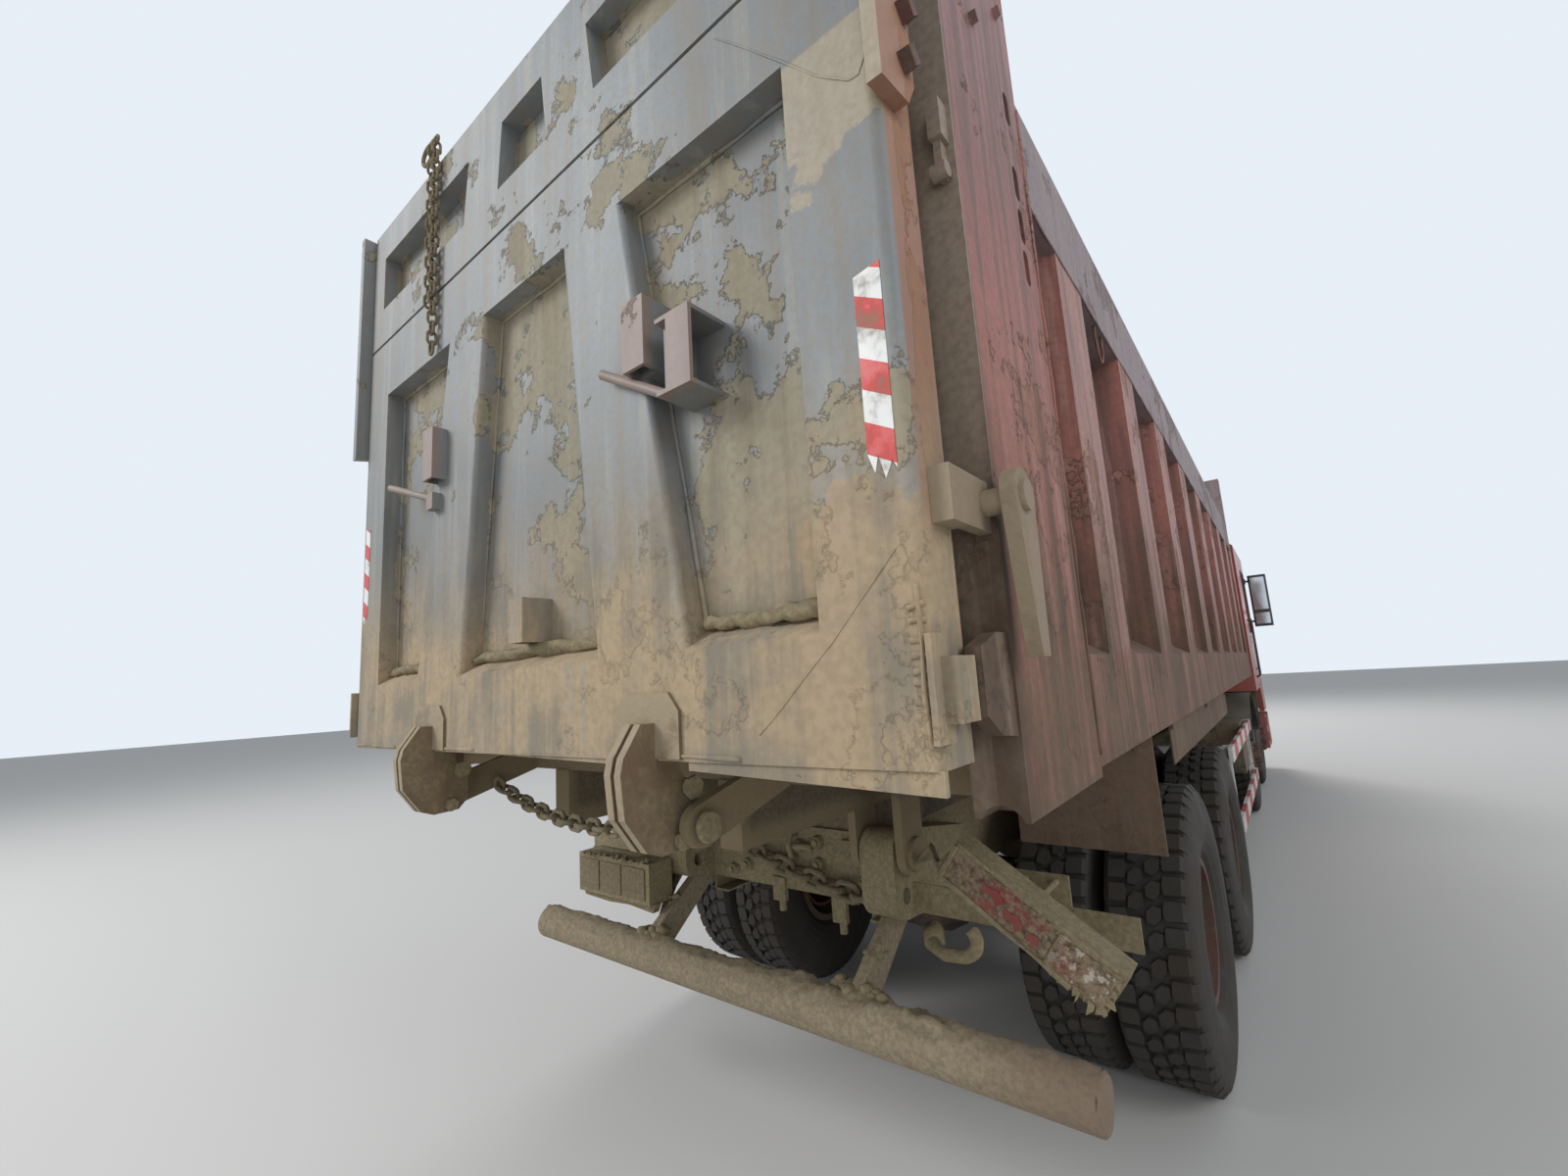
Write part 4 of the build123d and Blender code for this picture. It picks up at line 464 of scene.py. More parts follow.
def slab(bm, outline, thickness, to_world):
    """Closed plate: outline of (u, v) points, raised by thickness along w."""
    lower = [bm.verts.new(to_world(u, v, 0)) for u, v in outline]
    upper = [bm.verts.new(to_world(u, v, thickness)) for u, v in outline]
    bm.faces.new(lower[::-1])
    bm.faces.new(upper)
    skin(bm, [lower, upper])


def oblong(low_u, high_u, low_v, high_v):
    return [(low_u, low_v), (high_u, low_v), (high_u, high_v), (low_u, high_v)]


def backward(y):
    """Places for slab: its foot at y, raised toward the truck's rear."""
    return lambda u, v, w: (u, y - w, v)


def outward(side):
    """Places for slab: on a door's skin, raised away from the truck."""
    return lambda u, v, w: (side * (DOOR_SKIN + w), u, v)


def cuboid(bm, x, y, z):
    slab(bm, oblong(*x, *y), z[1] - z[0], lambda u, v, w: (u, v, z[0] + w))


def tube(bm, path, radius, sides=10, wobble=0.0):
    """Round tube along a path of points, closed at both ends."""
    path = [Vector(p) for p in path]
    rings = []
    for number, point in enumerate(path):
        along = (path[min(number + 1, len(path) - 1)] - path[max(number - 1, 0)]).normalized()
        across = (across - along * across.dot(along)) if rings else along.orthogonal()
        across.normalize()
        other = along.cross(across)
        ring = []
        for turn in turns(sides):
            reach = radius
            if wobble:
                reach += wobble * noise.noise(point * 9 + across * math.cos(turn) + other * math.sin(turn))
            ring.append(bm.verts.new(point + (across * math.cos(turn) + other * math.sin(turn)) * reach))
        rings.append(ring)
    skin(bm, rings)
    bm.faces.new(rings[0][::-1])
    bm.faces.new(rings[-1])


def prism(bm, centre, axis, radius, length, sides=6, top=1.0):
    """Bolt head, nut or boss with its foot at centre, raised along axis."""
    axis = Vector(axis).normalized()
    across = axis.orthogonal().normalized()
    other = axis.cross(across)
    rings = []
    for height_share, scale in ((0, 1), (1, top)):
        ring = []
        for turn in turns(sides, 0.5):
            ring.append(bm.verts.new(Vector(centre) + axis * length * height_share
                                     + (across * math.cos(turn) + other * math.sin(turn)) * radius * scale))
        rings.append(ring)
    skin(bm, rings)
    bm.faces.new(rings[0][::-1])
    bm.faces.new(rings[1])


def bolt(bm, place, axis, radius):
    """Bolt head on its washer."""
    prism(bm, place, axis, radius * 1.5, 0.0025, 14)
    prism(bm, place, axis, radius, 0.010)


# Tyres with their tread blocks: half profile as (x, radius), block outlines as (x, share of the pitch)
TYRE_PROFILE = [(0.107, 0.2545), (0.107, 0.278), (0.121, 0.290), (0.131, 0.300), (0.1475, 0.335),
                (0.1552, 0.372), (0.1570, 0.405), (0.1545, 0.440), (0.1505, 0.470), (0.1470, 0.497),
                (0.1420, 0.520), (0.1360, 0.534), (0.1280, 0.5435), (0.0650, 0.5455)]
SHOULDER = [(0.064, -0.40), (0.119, -0.43), (0.119, 0.37), (0.064, 0.44), (0.058, 0.05)]
MIDDLE = [(0.004, -0.12), (0.028, -0.42), (0.054, -0.36), (0.051, 0.10), (0.030, 0.42), (0.006, 0.34)]
SIDE_LUG = ((0.118, 0.5612), (0.1365, 0.5375), (0.1445, 0.513), (0.1385, 0.509), (0.125, 0.535))
TREAD_COUNT, TYRE_STEPS = 42, 84
TREAD_FOOT, TREAD_TOP, TREAD_EDGE = 0.543, 0.5622, 0.5618
NUT_CIRCLE, CAP_CIRCLE = 0.134, 0.054


def on_wheel(bm, x, radius, turn):
    return bm.verts.new((x, radius * math.cos(turn), radius * math.sin(turn)))


def tread_tyre(bm, centre_x, turn_offset):
    """One tyre about the wheel's axis, in the wheel's own place, with four rows of blocks."""
    profile = TYRE_PROFILE + [(-x, r) for x, r in reversed(TYRE_PROFILE)]
    rings = [[on_wheel(bm, centre_x + x, r, turn) for x, r in profile] for turn in turns(TYRE_STEPS)]
    skin(bm, rings + rings[:1])
    pitch = 2 * math.pi / TREAD_COUNT
    for number in range(TREAD_COUNT):
        for side in (-1, 1):
            for outline, shift in ((SHOULDER, 0.25 * side), (MIDDLE, 0.5 * (side > 0))):
                angle = turn_offset + (number + shift) * pitch
                chip = 1 - 0.07 * random.random()
                lower = []
                upper = []
                for x, along in outline:
                    turn = angle + along * pitch * side
                    outer = TREAD_TOP if x < 0.1 else TREAD_EDGE
                    inset = x * 0.985 if x > 0.03 else x
                    lower.append(on_wheel(bm, centre_x + side * x * 1.02, TREAD_FOOT, turn))
                    turn = angle + along * 0.93 * chip * pitch * side
                    upper.append(on_wheel(bm, centre_x + side * inset, outer, turn))
                bm.faces.new(upper)
                skin(bm, [lower, upper])
            # Lug that runs from the shoulder block down the sidewall
            ends = []
            for along in (-0.36, 0.32):
                turn = turn_offset + (number + 0.25 * side) * pitch + along * pitch * side
                ends.append([on_wheel(bm, centre_x + side * x, r, turn) for x, r in SIDE_LUG])
            skin(bm, ends)
            bm.faces.new(ends[0])
            bm.faces.new(ends[1][::-1])


# Stem of the tyres' names, their middles, and where the rim's nuts and the hub cap's bolts stand
SINGLE = ("tyre", (1.018,), 1.183, 1.229)
TWIN = ("twin_tyres", (0.765, 1.095), 0.942, 1.115)
for (stem, centres, face_x, cap_x), number, station in (
        (SINGLE, 1, 9.35), (SINGLE, 2, 7.5), (TWIN, 3, 3.45), (TWIN, 4, 2.05)):
    for label, side in SIDES:
        bm = bmesh.new()
        for order, centre_x in enumerate(centres):
            tread_tyre(bm, side * centre_x, 0.7 * number + 0.06 * order)
        bmesh.ops.translate(bm, verts=bm.verts, vec=(0, at(station), AXLE_Z))
        piece(f"tread_{number}_{label}", bm, tyre_mat, f"wheel_{number}_{label}",
              replaces=(f"{stem}_{number}_{label}",))
        # Wheel nuts on their studs, hub cap and its bolts
        bm = bmesh.new()
        out = (side, 0, 0)
        y = at(station)
        for turn in turns(10):
            place = (side * face_x, y + NUT_CIRCLE * math.cos(turn), AXLE_Z + NUT_CIRCLE * math.sin(turn))
            prism(bm, place, out, 0.019, 0.026, 6, 0.94)
            prism(bm, place, out, 0.011, 0.042, 10)
        for turn in turns(8):
            place = (side * cap_x, y + CAP_CIRCLE * math.cos(turn), AXLE_Z + CAP_CIRCLE * math.sin(turn))
            prism(bm, place, out, 0.008, 0.008)
        prism(bm, (side * cap_x, y, AXLE_Z), out, 0.038, 0.010, 24, 0.8)
        piece(f"wheel_nuts_{number}_{label}", bm, rim_mat, f"wheel_{number}_{label}")

# Tailgate: tape, arm and hook bolts, weld seams, cracks and mud left on its ledges
tape_mat = stripes("gate tape", "Z", 0.058, slant=0.55)
for label, side in SIDES:
    bm = bmesh.new()
    low_x, high_x = (1.124, 1.177) if side > 0 else (1.128, 1.172)
    torn = [(low_x, 2.02), (low_x + 0.012, 1.985), (low_x + 0.02, 2.015), (low_x + 0.031, 1.972),
            (high_x - 0.008, 2.0), (high_x, 1.985)]
    outline = [(side * x, z) for x, z in torn + [(high_x, 2.355), (low_x, 2.345)]]
    slab(bm, outline, 0.0012, backward(GATE_FACE))
    piece(f"gate_tape_{label}", bm, tape_mat, "tailgate")

bm = bmesh.new()
for side in (-1, 1):
    for station, z in ((-0.174, 2.747), (-0.160, 2.865), (-0.160, 3.18), (-0.160, 3.36)):
        prism(bm, (side * 1.234, at(station), z), (side, 0, 0), 0.026, 0.024, 4, 0.94)
    prism(bm, (side * 1.262, *GATE_PIN), (side, 0, 0), 0.034, 0.012)
piece("gate_arm_bolts", bm, rim_mat, "tailgate")
bm = bmesh.new()
for side in (-1, 1):
    prism(bm, (side * 0.3848, *BED_PIN), (-side, 0, 0), 0.043, 0.022, 20, 0.92)
    prism(bm, (side * 0.621, *LUG_PIN), (side, 0, 0), 0.034, 0.010, 20, 0.90)
piece("bed_pin_heads", bm, bracket_mat, "bed")
bm = bmesh.new()
for side in (-1, 1):
    for station, z, radius in ((-0.146, 1.440, 0.026), (-0.178, 1.335, 0.020)):
        for end, facing in ((0.500, -side), (0.574, side)):
            prism(bm, (side * end, at(station), z), (facing, 0, 0), radius, 0.012)
piece("gate_bolts", bm, bracket_mat, "tailgate")


def seam(bm, path, radius, step=0.02):
    """Lumpy weld bead or mud roll along a path."""
    points = []
    for start, end in zip(path, path[1:]):
        start, end = Vector(start), Vector(end)
        count = max(2, int((end - start).length / step))
        points += [start.lerp(end, n / count) for n in range(count)]
    points.append(Vector(path[-1]))
    tube(bm, points, radius, 6, radius * 0.9)


bm = bmesh.new()
weld_y = GATE_PANEL - 0.003
for side in (-1, 1):
    for top_x, foot_x in ((0.218, 0.348), (0.476, 0.667)):
        seam(bm, [(side * top_x, weld_y, 2.865), (side * foot_x, weld_y, 1.775)], 0.006)
    seam(bm, [(side * 0.998, weld_y, 2.866), (side * 0.998, weld_y, 1.778)], 0.006)
seam(bm, [(-0.99, weld_y, 2.867), (0.99, weld_y, 2.867)], 0.006)
piece("gate_welds", bm, gate_mat, "tailgate", smooth=True)
bm = bmesh.new()
corner = ((1.190, 0.002, 1.79), (1.193, 0.004, 1.70), (1.190, 0.004, 1.62), (1.193, 0.002, 1.54))
seam(bm, [(x, GATE_FACE - out, z) for x, out, z in corner], 0.0045, 0.012)
for z in (1.755, 1.735, 1.705, 1.68, 1.655, 1.64, 1.61):
    end = (1.199, GATE_FACE + 0.004, z + random.uniform(-0.008, 0.008))
    seam(bm, [(1.172, GATE_FACE - 0.001, z), end], 0.006, 0.008)
for crack, radius in (
        (((1.160, 1.853), (1.091, 1.782), (1.026, 1.715), (0.911, 1.611), (0.849, 1.559)), 0.0018),
        (((1.195, 2.86), (1.190, 2.80), (1.183, 2.75), (1.170, 2.726), (1.150, 2.729), (1.086, 2.784),
          (0.986, 2.899), (0.826, 3.076)), 0.0024)):
    seam(bm, [(x, GATE_FACE, z) for x, z in crack], radius)
for x in (-1.17, -0.6, 0.45):
    seam(bm, [(x, GATE_FACE, 1.517), (x + 0.35, GATE_FACE, 1.514)], 0.005)
piece("gate_repair_welds", bm, gate_mat, "tailgate", smooth=True)
bm = bmesh.new()
for start, end in ((-0.985, -0.68), (-0.335, 0.335), (0.68, 0.985)):
    points = [(start + (end - start) * n / 14, GATE_PANEL - 0.016, 1.779 + 0.004 * math.sin(n * 2.1))
              for n in range(15)]
    tube(bm, points, 0.017, 8, 0.018)
piece("gate_ledge_mud", bm, bracket_mat, "tailgate", smooth=True)

# Bed: wire loops under the top rail, plate seams and post bolts
bm = bmesh.new()
for side in (-1, 1):
    for y in (at(1.36), at(5.80)):
        loop = [(side * 1.238, y + 0.055 * math.cos(turn), 2.875 - 0.12 * math.sin(turn) ** 0.7)
                for turn in (math.pi * n / 14 for n in range(15))]
        tube(bm, loop, 0.0045, 8)
piece("rail_loops", bm, bed_mat, "bed", smooth=True)
bm = bmesh.new()
for side in (-1, 1):
    weld_x = side * (BED_SKIN + 0.0005)
    seam(bm, [(weld_x, at(0.524), 1.44), (weld_x, at(0.524), 3.17)], 0.005)
    seam(bm, [(weld_x, at(0.53), 2.877), (weld_x, at(7.98), 2.877)], 0.004, 0.05)
piece("bed_welds", bm, bed_mat, "bed", smooth=True)
bm = bmesh.new()
for side in (-1, 1):
    for z, y in ((3.183, 0.213), (3.398, 0.43), (3.548, 0.36), (3.50, 0.12)):
        prism(bm, (side * BED_SKIN, at(y), z), (side, 0, 0), 0.019, 0.017, 4, 0.94)
    for y in (1.92, 3.28, 3.32, 4.62):
        bolt(bm, (side * 1.206, at(y), 1.38), (side, 0, 0), 0.012)
    for x in (0.84, 0.98, 1.10, 1.21):
        bolt(bm, (side * x, at(1.195), 1.375), (0, -1, 0), 0.011)
piece("bed_bolts", bm, bed_mat, "bed")

# Underrun pipe: crust of dried mud on its top, thickest right of the middle, and lumps on the arms
bm = bmesh.new()
COLUMNS, ROWS = 320, 20
rings = []
for n in range(COLUMNS + 1):
    x = -1.15 + 2.30 * n / COLUMNS
    ring = []
    for m in range(ROWS + 1):
        turn = math.radians(-28 + 236 * m / ROWS)
        spot = Vector((x * 9, math.cos(turn) * 3.0, math.sin(turn) * 3.0))
        heap = 0.45 + 0.75 * math.exp(-((x - 0.42) / 0.42) ** 2)
        lump = max(0, 0.30 + noise.fractal(spot, 0.75, 2.3, 6)) * math.sin(math.pi * m / ROWS) ** 0.7
        reach = PIPE_REACH + 0.024 * heap * lump * (0.55 + 0.45 * math.sin(turn))
        ring.append(bm.verts.new((x, PIPE_Y + reach * math.cos(turn), PIPE_Z + reach * math.sin(turn))))
    rings.append(ring)
for first, second in zip(rings, rings[1:]):
    for m in range(ROWS):
        bm.faces.new((first[m], first[m + 1], second[m + 1], second[m]))
piece("pipe_mud", bm, pipe_mat, "chassis", smooth=True)


def lumps(bm, centre, spread, size, count):
    """Clods of dried mud stuck round a place."""
    for _ in range(count):
        spot = Vector(centre) + Vector([random.uniform(-s, s) for s in spread])
        grow = size * random.uniform(0.5, 1.0)
        made = bmesh.ops.create_icosphere(bm, subdivisions=2, radius=grow)["verts"]
        for vert in made:
            vert.co *= 1 + 0.45 * noise.noise(vert.co / grow * 1.3 + spot * 5)
            vert.co.z *= 0.7
            vert.co += spot


bm = bmesh.new()
for side in (-1, 1):
    lumps(bm, (side * 0.47, at(0.60), 0.715), (0.09, 0.03, 0.012), 0.030, 16)
    lumps(bm, (side * 0.47, at(0.70), 0.79), (0.025, 0.05, 0.03), 0.018, 12)
    lumps(bm, (side * 0.49, at(0.90), 0.93), (0.05, 0.04, 0.05), 0.012, 8)
lumps(bm, (0.30, at(0.885), 0.872), (0.10, 0.006, 0.014), 0.014, 14)
piece("mud_clods", bm, bracket_mat, "chassis", smooth=True)

# Rear end plate: bolted U bracket, stubs, pipe bend and the mud-caked wiring
bm = bmesh.new()
for x, z in ((0.05, 1.03), (0.14, 1.05), (0.14, 0.97), (-0.22, 0.93), (-0.30, 0.90), (0.33, 0.93)):
    prism(bm, (x, END_PLATE, z), (0, -1, 0), 0.026, 0.022, 14, 0.8)
    prism(bm, (x, END_PLATE - 0.02, z), (0, -1, 0), 0.014, 0.014)
u_bolt = ((0, 1.07), (0.035, 1.072), (0.05, 1.04), (0.035, 0.99), (0, 0.985))
tube(bm, [(0.03, END_PLATE - out, z) for out, z in u_bolt], 0.011, 8)
tube(bm, [(0.03, END_PLATE - 0.03, 1.03), (0.13, END_PLATE - 0.03, 1.035)], 0.012, 8)
cuboid(bm, (0.255, 0.305), (END_PLATE - 0.02, END_PLATE), (1.060, 1.072))
cuboid(bm, (0.274, 0.286), (END_PLATE - 0.016, END_PLATE), (1.018, 1.061))
for x, drop in ((-0.06, 0.05), (0.22, 0.085)):
    cuboid(bm, (x - 0.03, x + 0.03), (END_PLATE - 0.012, END_PLATE + 0.008), (0.862 - drop, 0.90))
    prism(bm, (x + 0.01, END_PLATE - 0.002, 0.862 - drop), (0, 0, -1), 0.014, 0.035, 12)
piece("end_plate_fittings", bm, bracket_mat, "chassis")
bm = bmesh.new()
bend = [(0.70 + 0.075 * math.sin(turn), at(0.80), 0.845 - 0.055 * math.cos(turn))
        for turn in (math.pi * n / 14 for n in range(2, 11))]
tube(bm, [(0.565, at(0.90), 0.80), (0.62, at(0.84), 0.785), (0.66, at(0.81), 0.785)] + bend, 0.020, 12)
tube(bm, [(0.565, at(0.93), 0.80), (0.60, at(0.865), 0.79)], 0.034, 14)
tube(bm, [(-0.575, at(0.86), 0.90), (-0.59, at(0.80), 0.82), (-0.545, at(0.72), 0.775),
          (-0.50, at(0.66), 0.745)], 0.017, 10)
piece("air_pipes", bm, bracket_mat, "chassis", smooth=True)
bm = bmesh.new()
for shift in (0, 0.013, 0.027):
    tube(bm, [(0.625, at(0.80) - shift, 1.075), (0.68, at(0.745), 1.095 + shift),
              (0.735, at(0.69), 1.085 - shift), (0.79, at(0.66), 1.13 - shift),
              (0.84, at(0.65), 1.135 - shift * 0.6)], 0.011, 8, 0.007)
for x in (0.905, 0.955):
    tube(bm, [(x, at(0.836), 1.022), (x + 0.006, at(0.75), 1.024), (x - 0.004, at(0.65), 1.025)],
         0.005, 6, 0.002)
for z in (0.962, 0.968):
    tube(bm, [(-0.96, at(0.66), z), (-0.80, at(0.655), z + 0.004), (-0.66, at(0.66), z),
              (-0.56, at(0.74), z + 0.01), (-0.55, at(0.82), z + 0.005)], 0.006, 6, 0.003)
piece("lamp_wiring", bm, bracket_mat, "chassis", smooth=True)

# Broken right tail lamp: lens remains, cracked rim and splinters; TOOTH is the pitch of its jagged edges
LAMP_LEAN = math.radians(33.7)
TOOTH = 0.0148


def on_lamp(u, v, w):
    """Place on the hanging lamp's rear face, u along it and w outwards."""
    cos, sin = math.cos(LAMP_LEAN), math.sin(LAMP_LEAN)
    return (1.015 + u * cos + v * sin, at(0.555) - w, 1.02 - u * sin + v * cos)


def broken_lens(name):
    """Lamp face behind a broken lens: caked brown, smears of red and pale splinters."""
    mat, tree, shader = material(name)
    smear = cloud(tree, 9, 10, 0.7, (1, 1, 1.6))
    chips = cloud(tree, 60, 8, 0.72)
    colour = mix(tree, ramp(tree, chips, 0.36, 0.6), (0.085, 0.055, 0.036), (0.250, 0.185, 0.120))
    near = times(tree, place_share(tree, "X", 0.86, 0.93), place_share(tree, "X", 1.04, 1.16, 1, 0))
    red = times(tree, near, ramp(tree, smear, 0.50, 0.56))
    red_share = times(tree, red, ramp(tree, chips, 0.62, 0.46, 0.2, 0.9))
    colour = mix(tree, red_share, colour, (0.220, 0.016, 0.018))
    splinters = ramp(tree, cloud(tree, 34, 9, 0.75), 0.53, 0.58)
    pale_share = times(tree, place_share(tree, "X", 1.02, 1.16), splinters)
    colour = mix(tree, pale_share, colour, (0.48, 0.42, 0.34))
    relief = plus(tree, smear, times(tree, chips, 0.4))
    coat(tree, shader, colour, ramp(tree, red, 0, 1, 0.9, 0.35), relief, 0.8, 0.008)
    return mat


bm = bmesh.new()
for left, right, half, step_out in ((-0.222, 0.074, 0.050, 0), (0.078, 0.222, 0.045, 0.006)):
    count = int((right - left) / TOOTH)
    edge = [(left + (right - left) * n / count, half - random.uniform(0, 0.008)) for n in range(count + 1)]
    edge += [(right - (right - left) * n / count, -half + random.uniform(0, 0.008)) for n in range(count + 1)]
    slab(bm, edge, 0.003, lambda u, v, w: on_lamp(u, v, w + step_out))
piece("lamp_face", bm, broken_lens("broken lens"), "chassis")
bm = bmesh.new()
for low, high, foot in ((-0.130, -0.062, -0.002), (-0.058, 0.004, -0.022), (0.012, 0.050, -0.030)):
    middle = (low + high) / 2
    slab(bm, [(low, foot + 0.020), (low + 0.014, foot - 0.006), (middle, foot + 0.004),
              (high - 0.010, foot - 0.014), (high, foot + 0.010), (middle + 0.010, foot + 0.026),
              (middle - 0.008, foot + 0.018)], 0.0062, on_lamp)
piece("lens_remains", bm, lens_mat, "chassis")
bm = bmesh.new()
for start, end in (((-0.225, -0.053), (0.15, -0.053)), ((-0.225, 0.053), (0.21, 0.053)),
                   ((-0.226, -0.05), (-0.226, 0.05))):
    seam(bm, [on_lamp(*start, 0.003), on_lamp(*end, 0.003)], 0.008)
for number in range(9):
    u = 0.09 + TOOTH * number + random.uniform(-0.004, 0.004)
    wide = random.uniform(0.008, 0.020)
    deep = random.uniform(0.006, 0.030) * (0.5 + number / 12)
    slab(bm, [(u, -0.045), (u + wide, -0.045),
              (u + wide * random.uniform(0.8, 1.3), -0.053 - deep * random.uniform(0.2, 0.6)),
              (u + wide * random.uniform(0.2, 0.9), -0.053 - deep)], random.uniform(0.003, 0.010), on_lamp)
for number in range(4):
    v = -0.055 + 0.024 * number
    long = random.uniform(0.004, 0.022)
    slab(bm, [(0.215, v), (0.215, v + 0.022), (0.226 + long * 0.4, v + 0.019), (0.226 + long, v + 0.006)],
         0.008, on_lamp)
piece("lamp_rim", bm, bracket_mat, "chassis")

# Left tail lamp: three dusty lenses in the box
bm = bmesh.new()
for low_x, high_x in ((-0.965, -0.83), (-0.82, -0.68), (-0.67, -0.525)):
    slab(bm, oblong(low_x, high_x, 0.82, 0.94), 0.006, backward(at(0.596)))
piece("left_lenses", bm, caked_steel("caked lens", MUD, (0.16, 0.09, 0.06), 0.75), "chassis")
bm = bmesh.new()
slab(bm, [(-0.99, 0.805), (-0.97, 0.775), (-0.80, 0.770), (-0.66, 0.778), (-0.51, 0.768), (-0.49, 0.805)],
     0.03, backward(at(0.65)))
lumps(bm, (-0.74, at(0.60), 0.965), (0.22, 0.02, 0.006), 0.014, 22)
piece("left_lamp_mud", bm, bracket_mat, "chassis")

# Chains with round links
def round_link(bm, start, end, number, wire):
    """One link between two points; every other link is turned a quarter."""
    along = end - start
    reach = along.length / 2 + 0.45 * wire
    along.normalize()
    across = Vector((1, 0, 0)) if abs(along.x) < 0.6 else Vector((0, 1, 0))
    normal = across if number % 2 == 0 else along.cross(across)
    wide = normal.cross(along).normalized()
    normal = along.cross(wide)
    half_width = 1.3 * wire
    rings = []
    for turn in turns(22):
        out = along * math.cos(turn) + wide * math.sin(turn)
        centre = (start + end) / 2 + out * half_width
        centre += along * math.copysign(reach - half_width, math.cos(turn))
        rings.append([bm.verts.new(centre + (out * math.cos(a) + normal * math.sin(a)) * wire * 0.5)
                      for a in turns(8)])
    skin(bm, rings + rings[:1])


def round_chain(node, strands, wire, body):
    """Links along strands of points, in place of a chain's solid."""
    bm = bmesh.new()
    for points in strands:
        for number, (start, end) in enumerate(zip(points, points[1:])):
            round_link(bm, Vector(start), Vector(end), number, wire)
    piece(f"{node}_links", bm, chain_mat, body, smooth=True, replaces=(node,))


tow_points = []
for n in range(11):
    share = n / 10
    sag = 0.13 * share * (1 - share)
    tow_points.append((-0.325 + 0.715 * share, END_PLATE - 0.0417, 1.066 - 0.172 * share - sag))
round_chain("tow_chain", [tow_points], 0.0225, "chassis")
lug_points = []
for n in range(26):
    share = 2 * n / 25 - 1
    lug_points.append((0.5637 * share, at(0), 1.375 - 0.1 * (1 - share * share)))
round_chain("lug_chain", [lug_points], 0.0147, "bed")
long_strand = [(-0.560, CHAIN_Y, 3.70 - 0.038 * n) for n in range(23)]
short_strand = [(-0.593, CHAIN_Y, z) for _, _, z in long_strand[:18]]
joining_link = [(-0.6073, CHAIN_Y, 3.712), (-0.549, CHAIN_Y, 3.712)]
round_chain("gate_chain", [long_strand, short_strand, joining_link], 0.0107, "tailgate")
bm = bmesh.new()
shackle = [(-0.655 + 0.045 * math.cos(turn), CHAIN_Y + 0.01, 3.712 + 0.036 * math.sin(turn))
           for turn in (math.pi * (0.25 + 1.5 * n / 14) for n in range(15))]
tube(bm, shackle, 0.0075, 8)
tube(bm, [(-0.624, CHAIN_Y + 0.01, 3.680), (-0.624, CHAIN_Y + 0.01, 3.744)], 0.009, 8)
piece("gate_shackle", bm, chain_mat, "tailgate", smooth=True)

# Cab outside: lamps, wipers, grille mesh, handles, steps and mirrors

def on_front(x, z, out):
    """Place on the cab's front, which leans back above the screen's foot, out metres ahead of its face."""
    return (x, CAB_FRONT - max(0, z - SCREEN_FOOT_Z) * SCREEN_SLOPE + out, z)


lens_clear = moulded("clear lens", (0.55, 0.56, 0.55), 0.08, (0.4, 0.36, 0.3), 0.35)
amber = moulded("amber lens", (0.6, 0.19, 0.01), 0.2, (0.35, 0.28, 0.2), 0.4)
bm = bmesh.new()
for side in (-1, 1):
    for x in (0.87, 1.05):
        prism(bm, (side * x, at(10.894), 0.58), (0, 1, 0), 0.078, 0.006, 28, 0.93)
piece("headlamp_lenses", bm, lens_clear, "chassis")
bm = bmesh.new()
for side in (-1, 1):
    slab(bm, oblong(side * 1.165, side * 1.225, 0.50, 0.66), 0.004, lambda u, v, w: (u, at(10.896) + w, v))
piece("turn_lamps", bm, amber, "chassis")
bm = bmesh.new()
for x in (-0.9, -0.45, 0.45, 0.9):
    cuboid(bm, (x - 0.05, x + 0.05), (at(10.60), at(10.63)), (3.118, 3.142))
piece("roof_lamps", bm, amber, "cab")
bm = bmesh.new()
for x in (-0.95, 0.10):
    arm = ((0, SCREEN_FOOT_Z, 0.02), (0.33, 2.02, 0.035), (0.55, 2.06, 0.03))
    tube(bm, [on_front(x + along, z, out) for along, z, out in arm], 0.008, 8)
    tube(bm, [on_front(x + 0.17, 2.00, 0.012), on_front(x + 0.91, 2.12, 0.006)], 0.006, 6)
    prism(bm, on_front(x, SCREEN_FOOT_Z, 0.0), (0, 1, 0), 0.02, 0.03, 12)
tube(bm, [on_front(-1.06, 1.966, 0.004), on_front(1.06, 1.966, 0.004)], 0.012, 8)
piece("wipers", bm, trim_mat, "cab", smooth=True)
bm = bmesh.new()
mesh_y = CAB_FRONT - 0.026
for n in range(60):
    x = -0.79 + 1.58 * n / 59
    tube(bm, [(x, mesh_y, 1.26), (x, mesh_y, 1.84)], 0.003, 4)
for n in range(22):
    z = 1.27 + 0.56 * n / 21
    tube(bm, [(-0.79, mesh_y, z), (0.79, mesh_y, z)], 0.003, 4)
piece("grille_mesh", bm, trim_mat, "cab")
bm = bmesh.new()
for side in (-1, 1):
    upright = ((1.246, 1.35), (1.285, 1.38), (1.285, 2.1), (1.246, 2.13))
    tube(bm, [(side * x, at(9.52), z) for x, z in upright], 0.014, 10)
    level = ((0.75, 0.0), (0.75, 0.04), (1.05, 0.04), (1.05, 0.0))
    tube(bm, [on_front(side * x, 1.15, out) for x, out in level], 0.012, 10)
piece("grab_bars", bm, trim_mat, "cab", smooth=True)
bm = bmesh.new()
for side in (-1, 1):
    for z in (0.4305, 0.6405):
        for n in range(7):
            y = at(10.10 + 0.045 * n)
            cuboid(bm, sorted((side * 1.07, side * 1.235)), (y, y + 0.012), (z, z + 0.006))
piece("step_treads", bm, iron_mat, "chassis")
bm = bmesh.new()
silver, tree, shader = material("mirror glass")
haze = ramp(tree, cloud(tree, 5, 6), 0.5, 0.8, 0.0, 0.35)
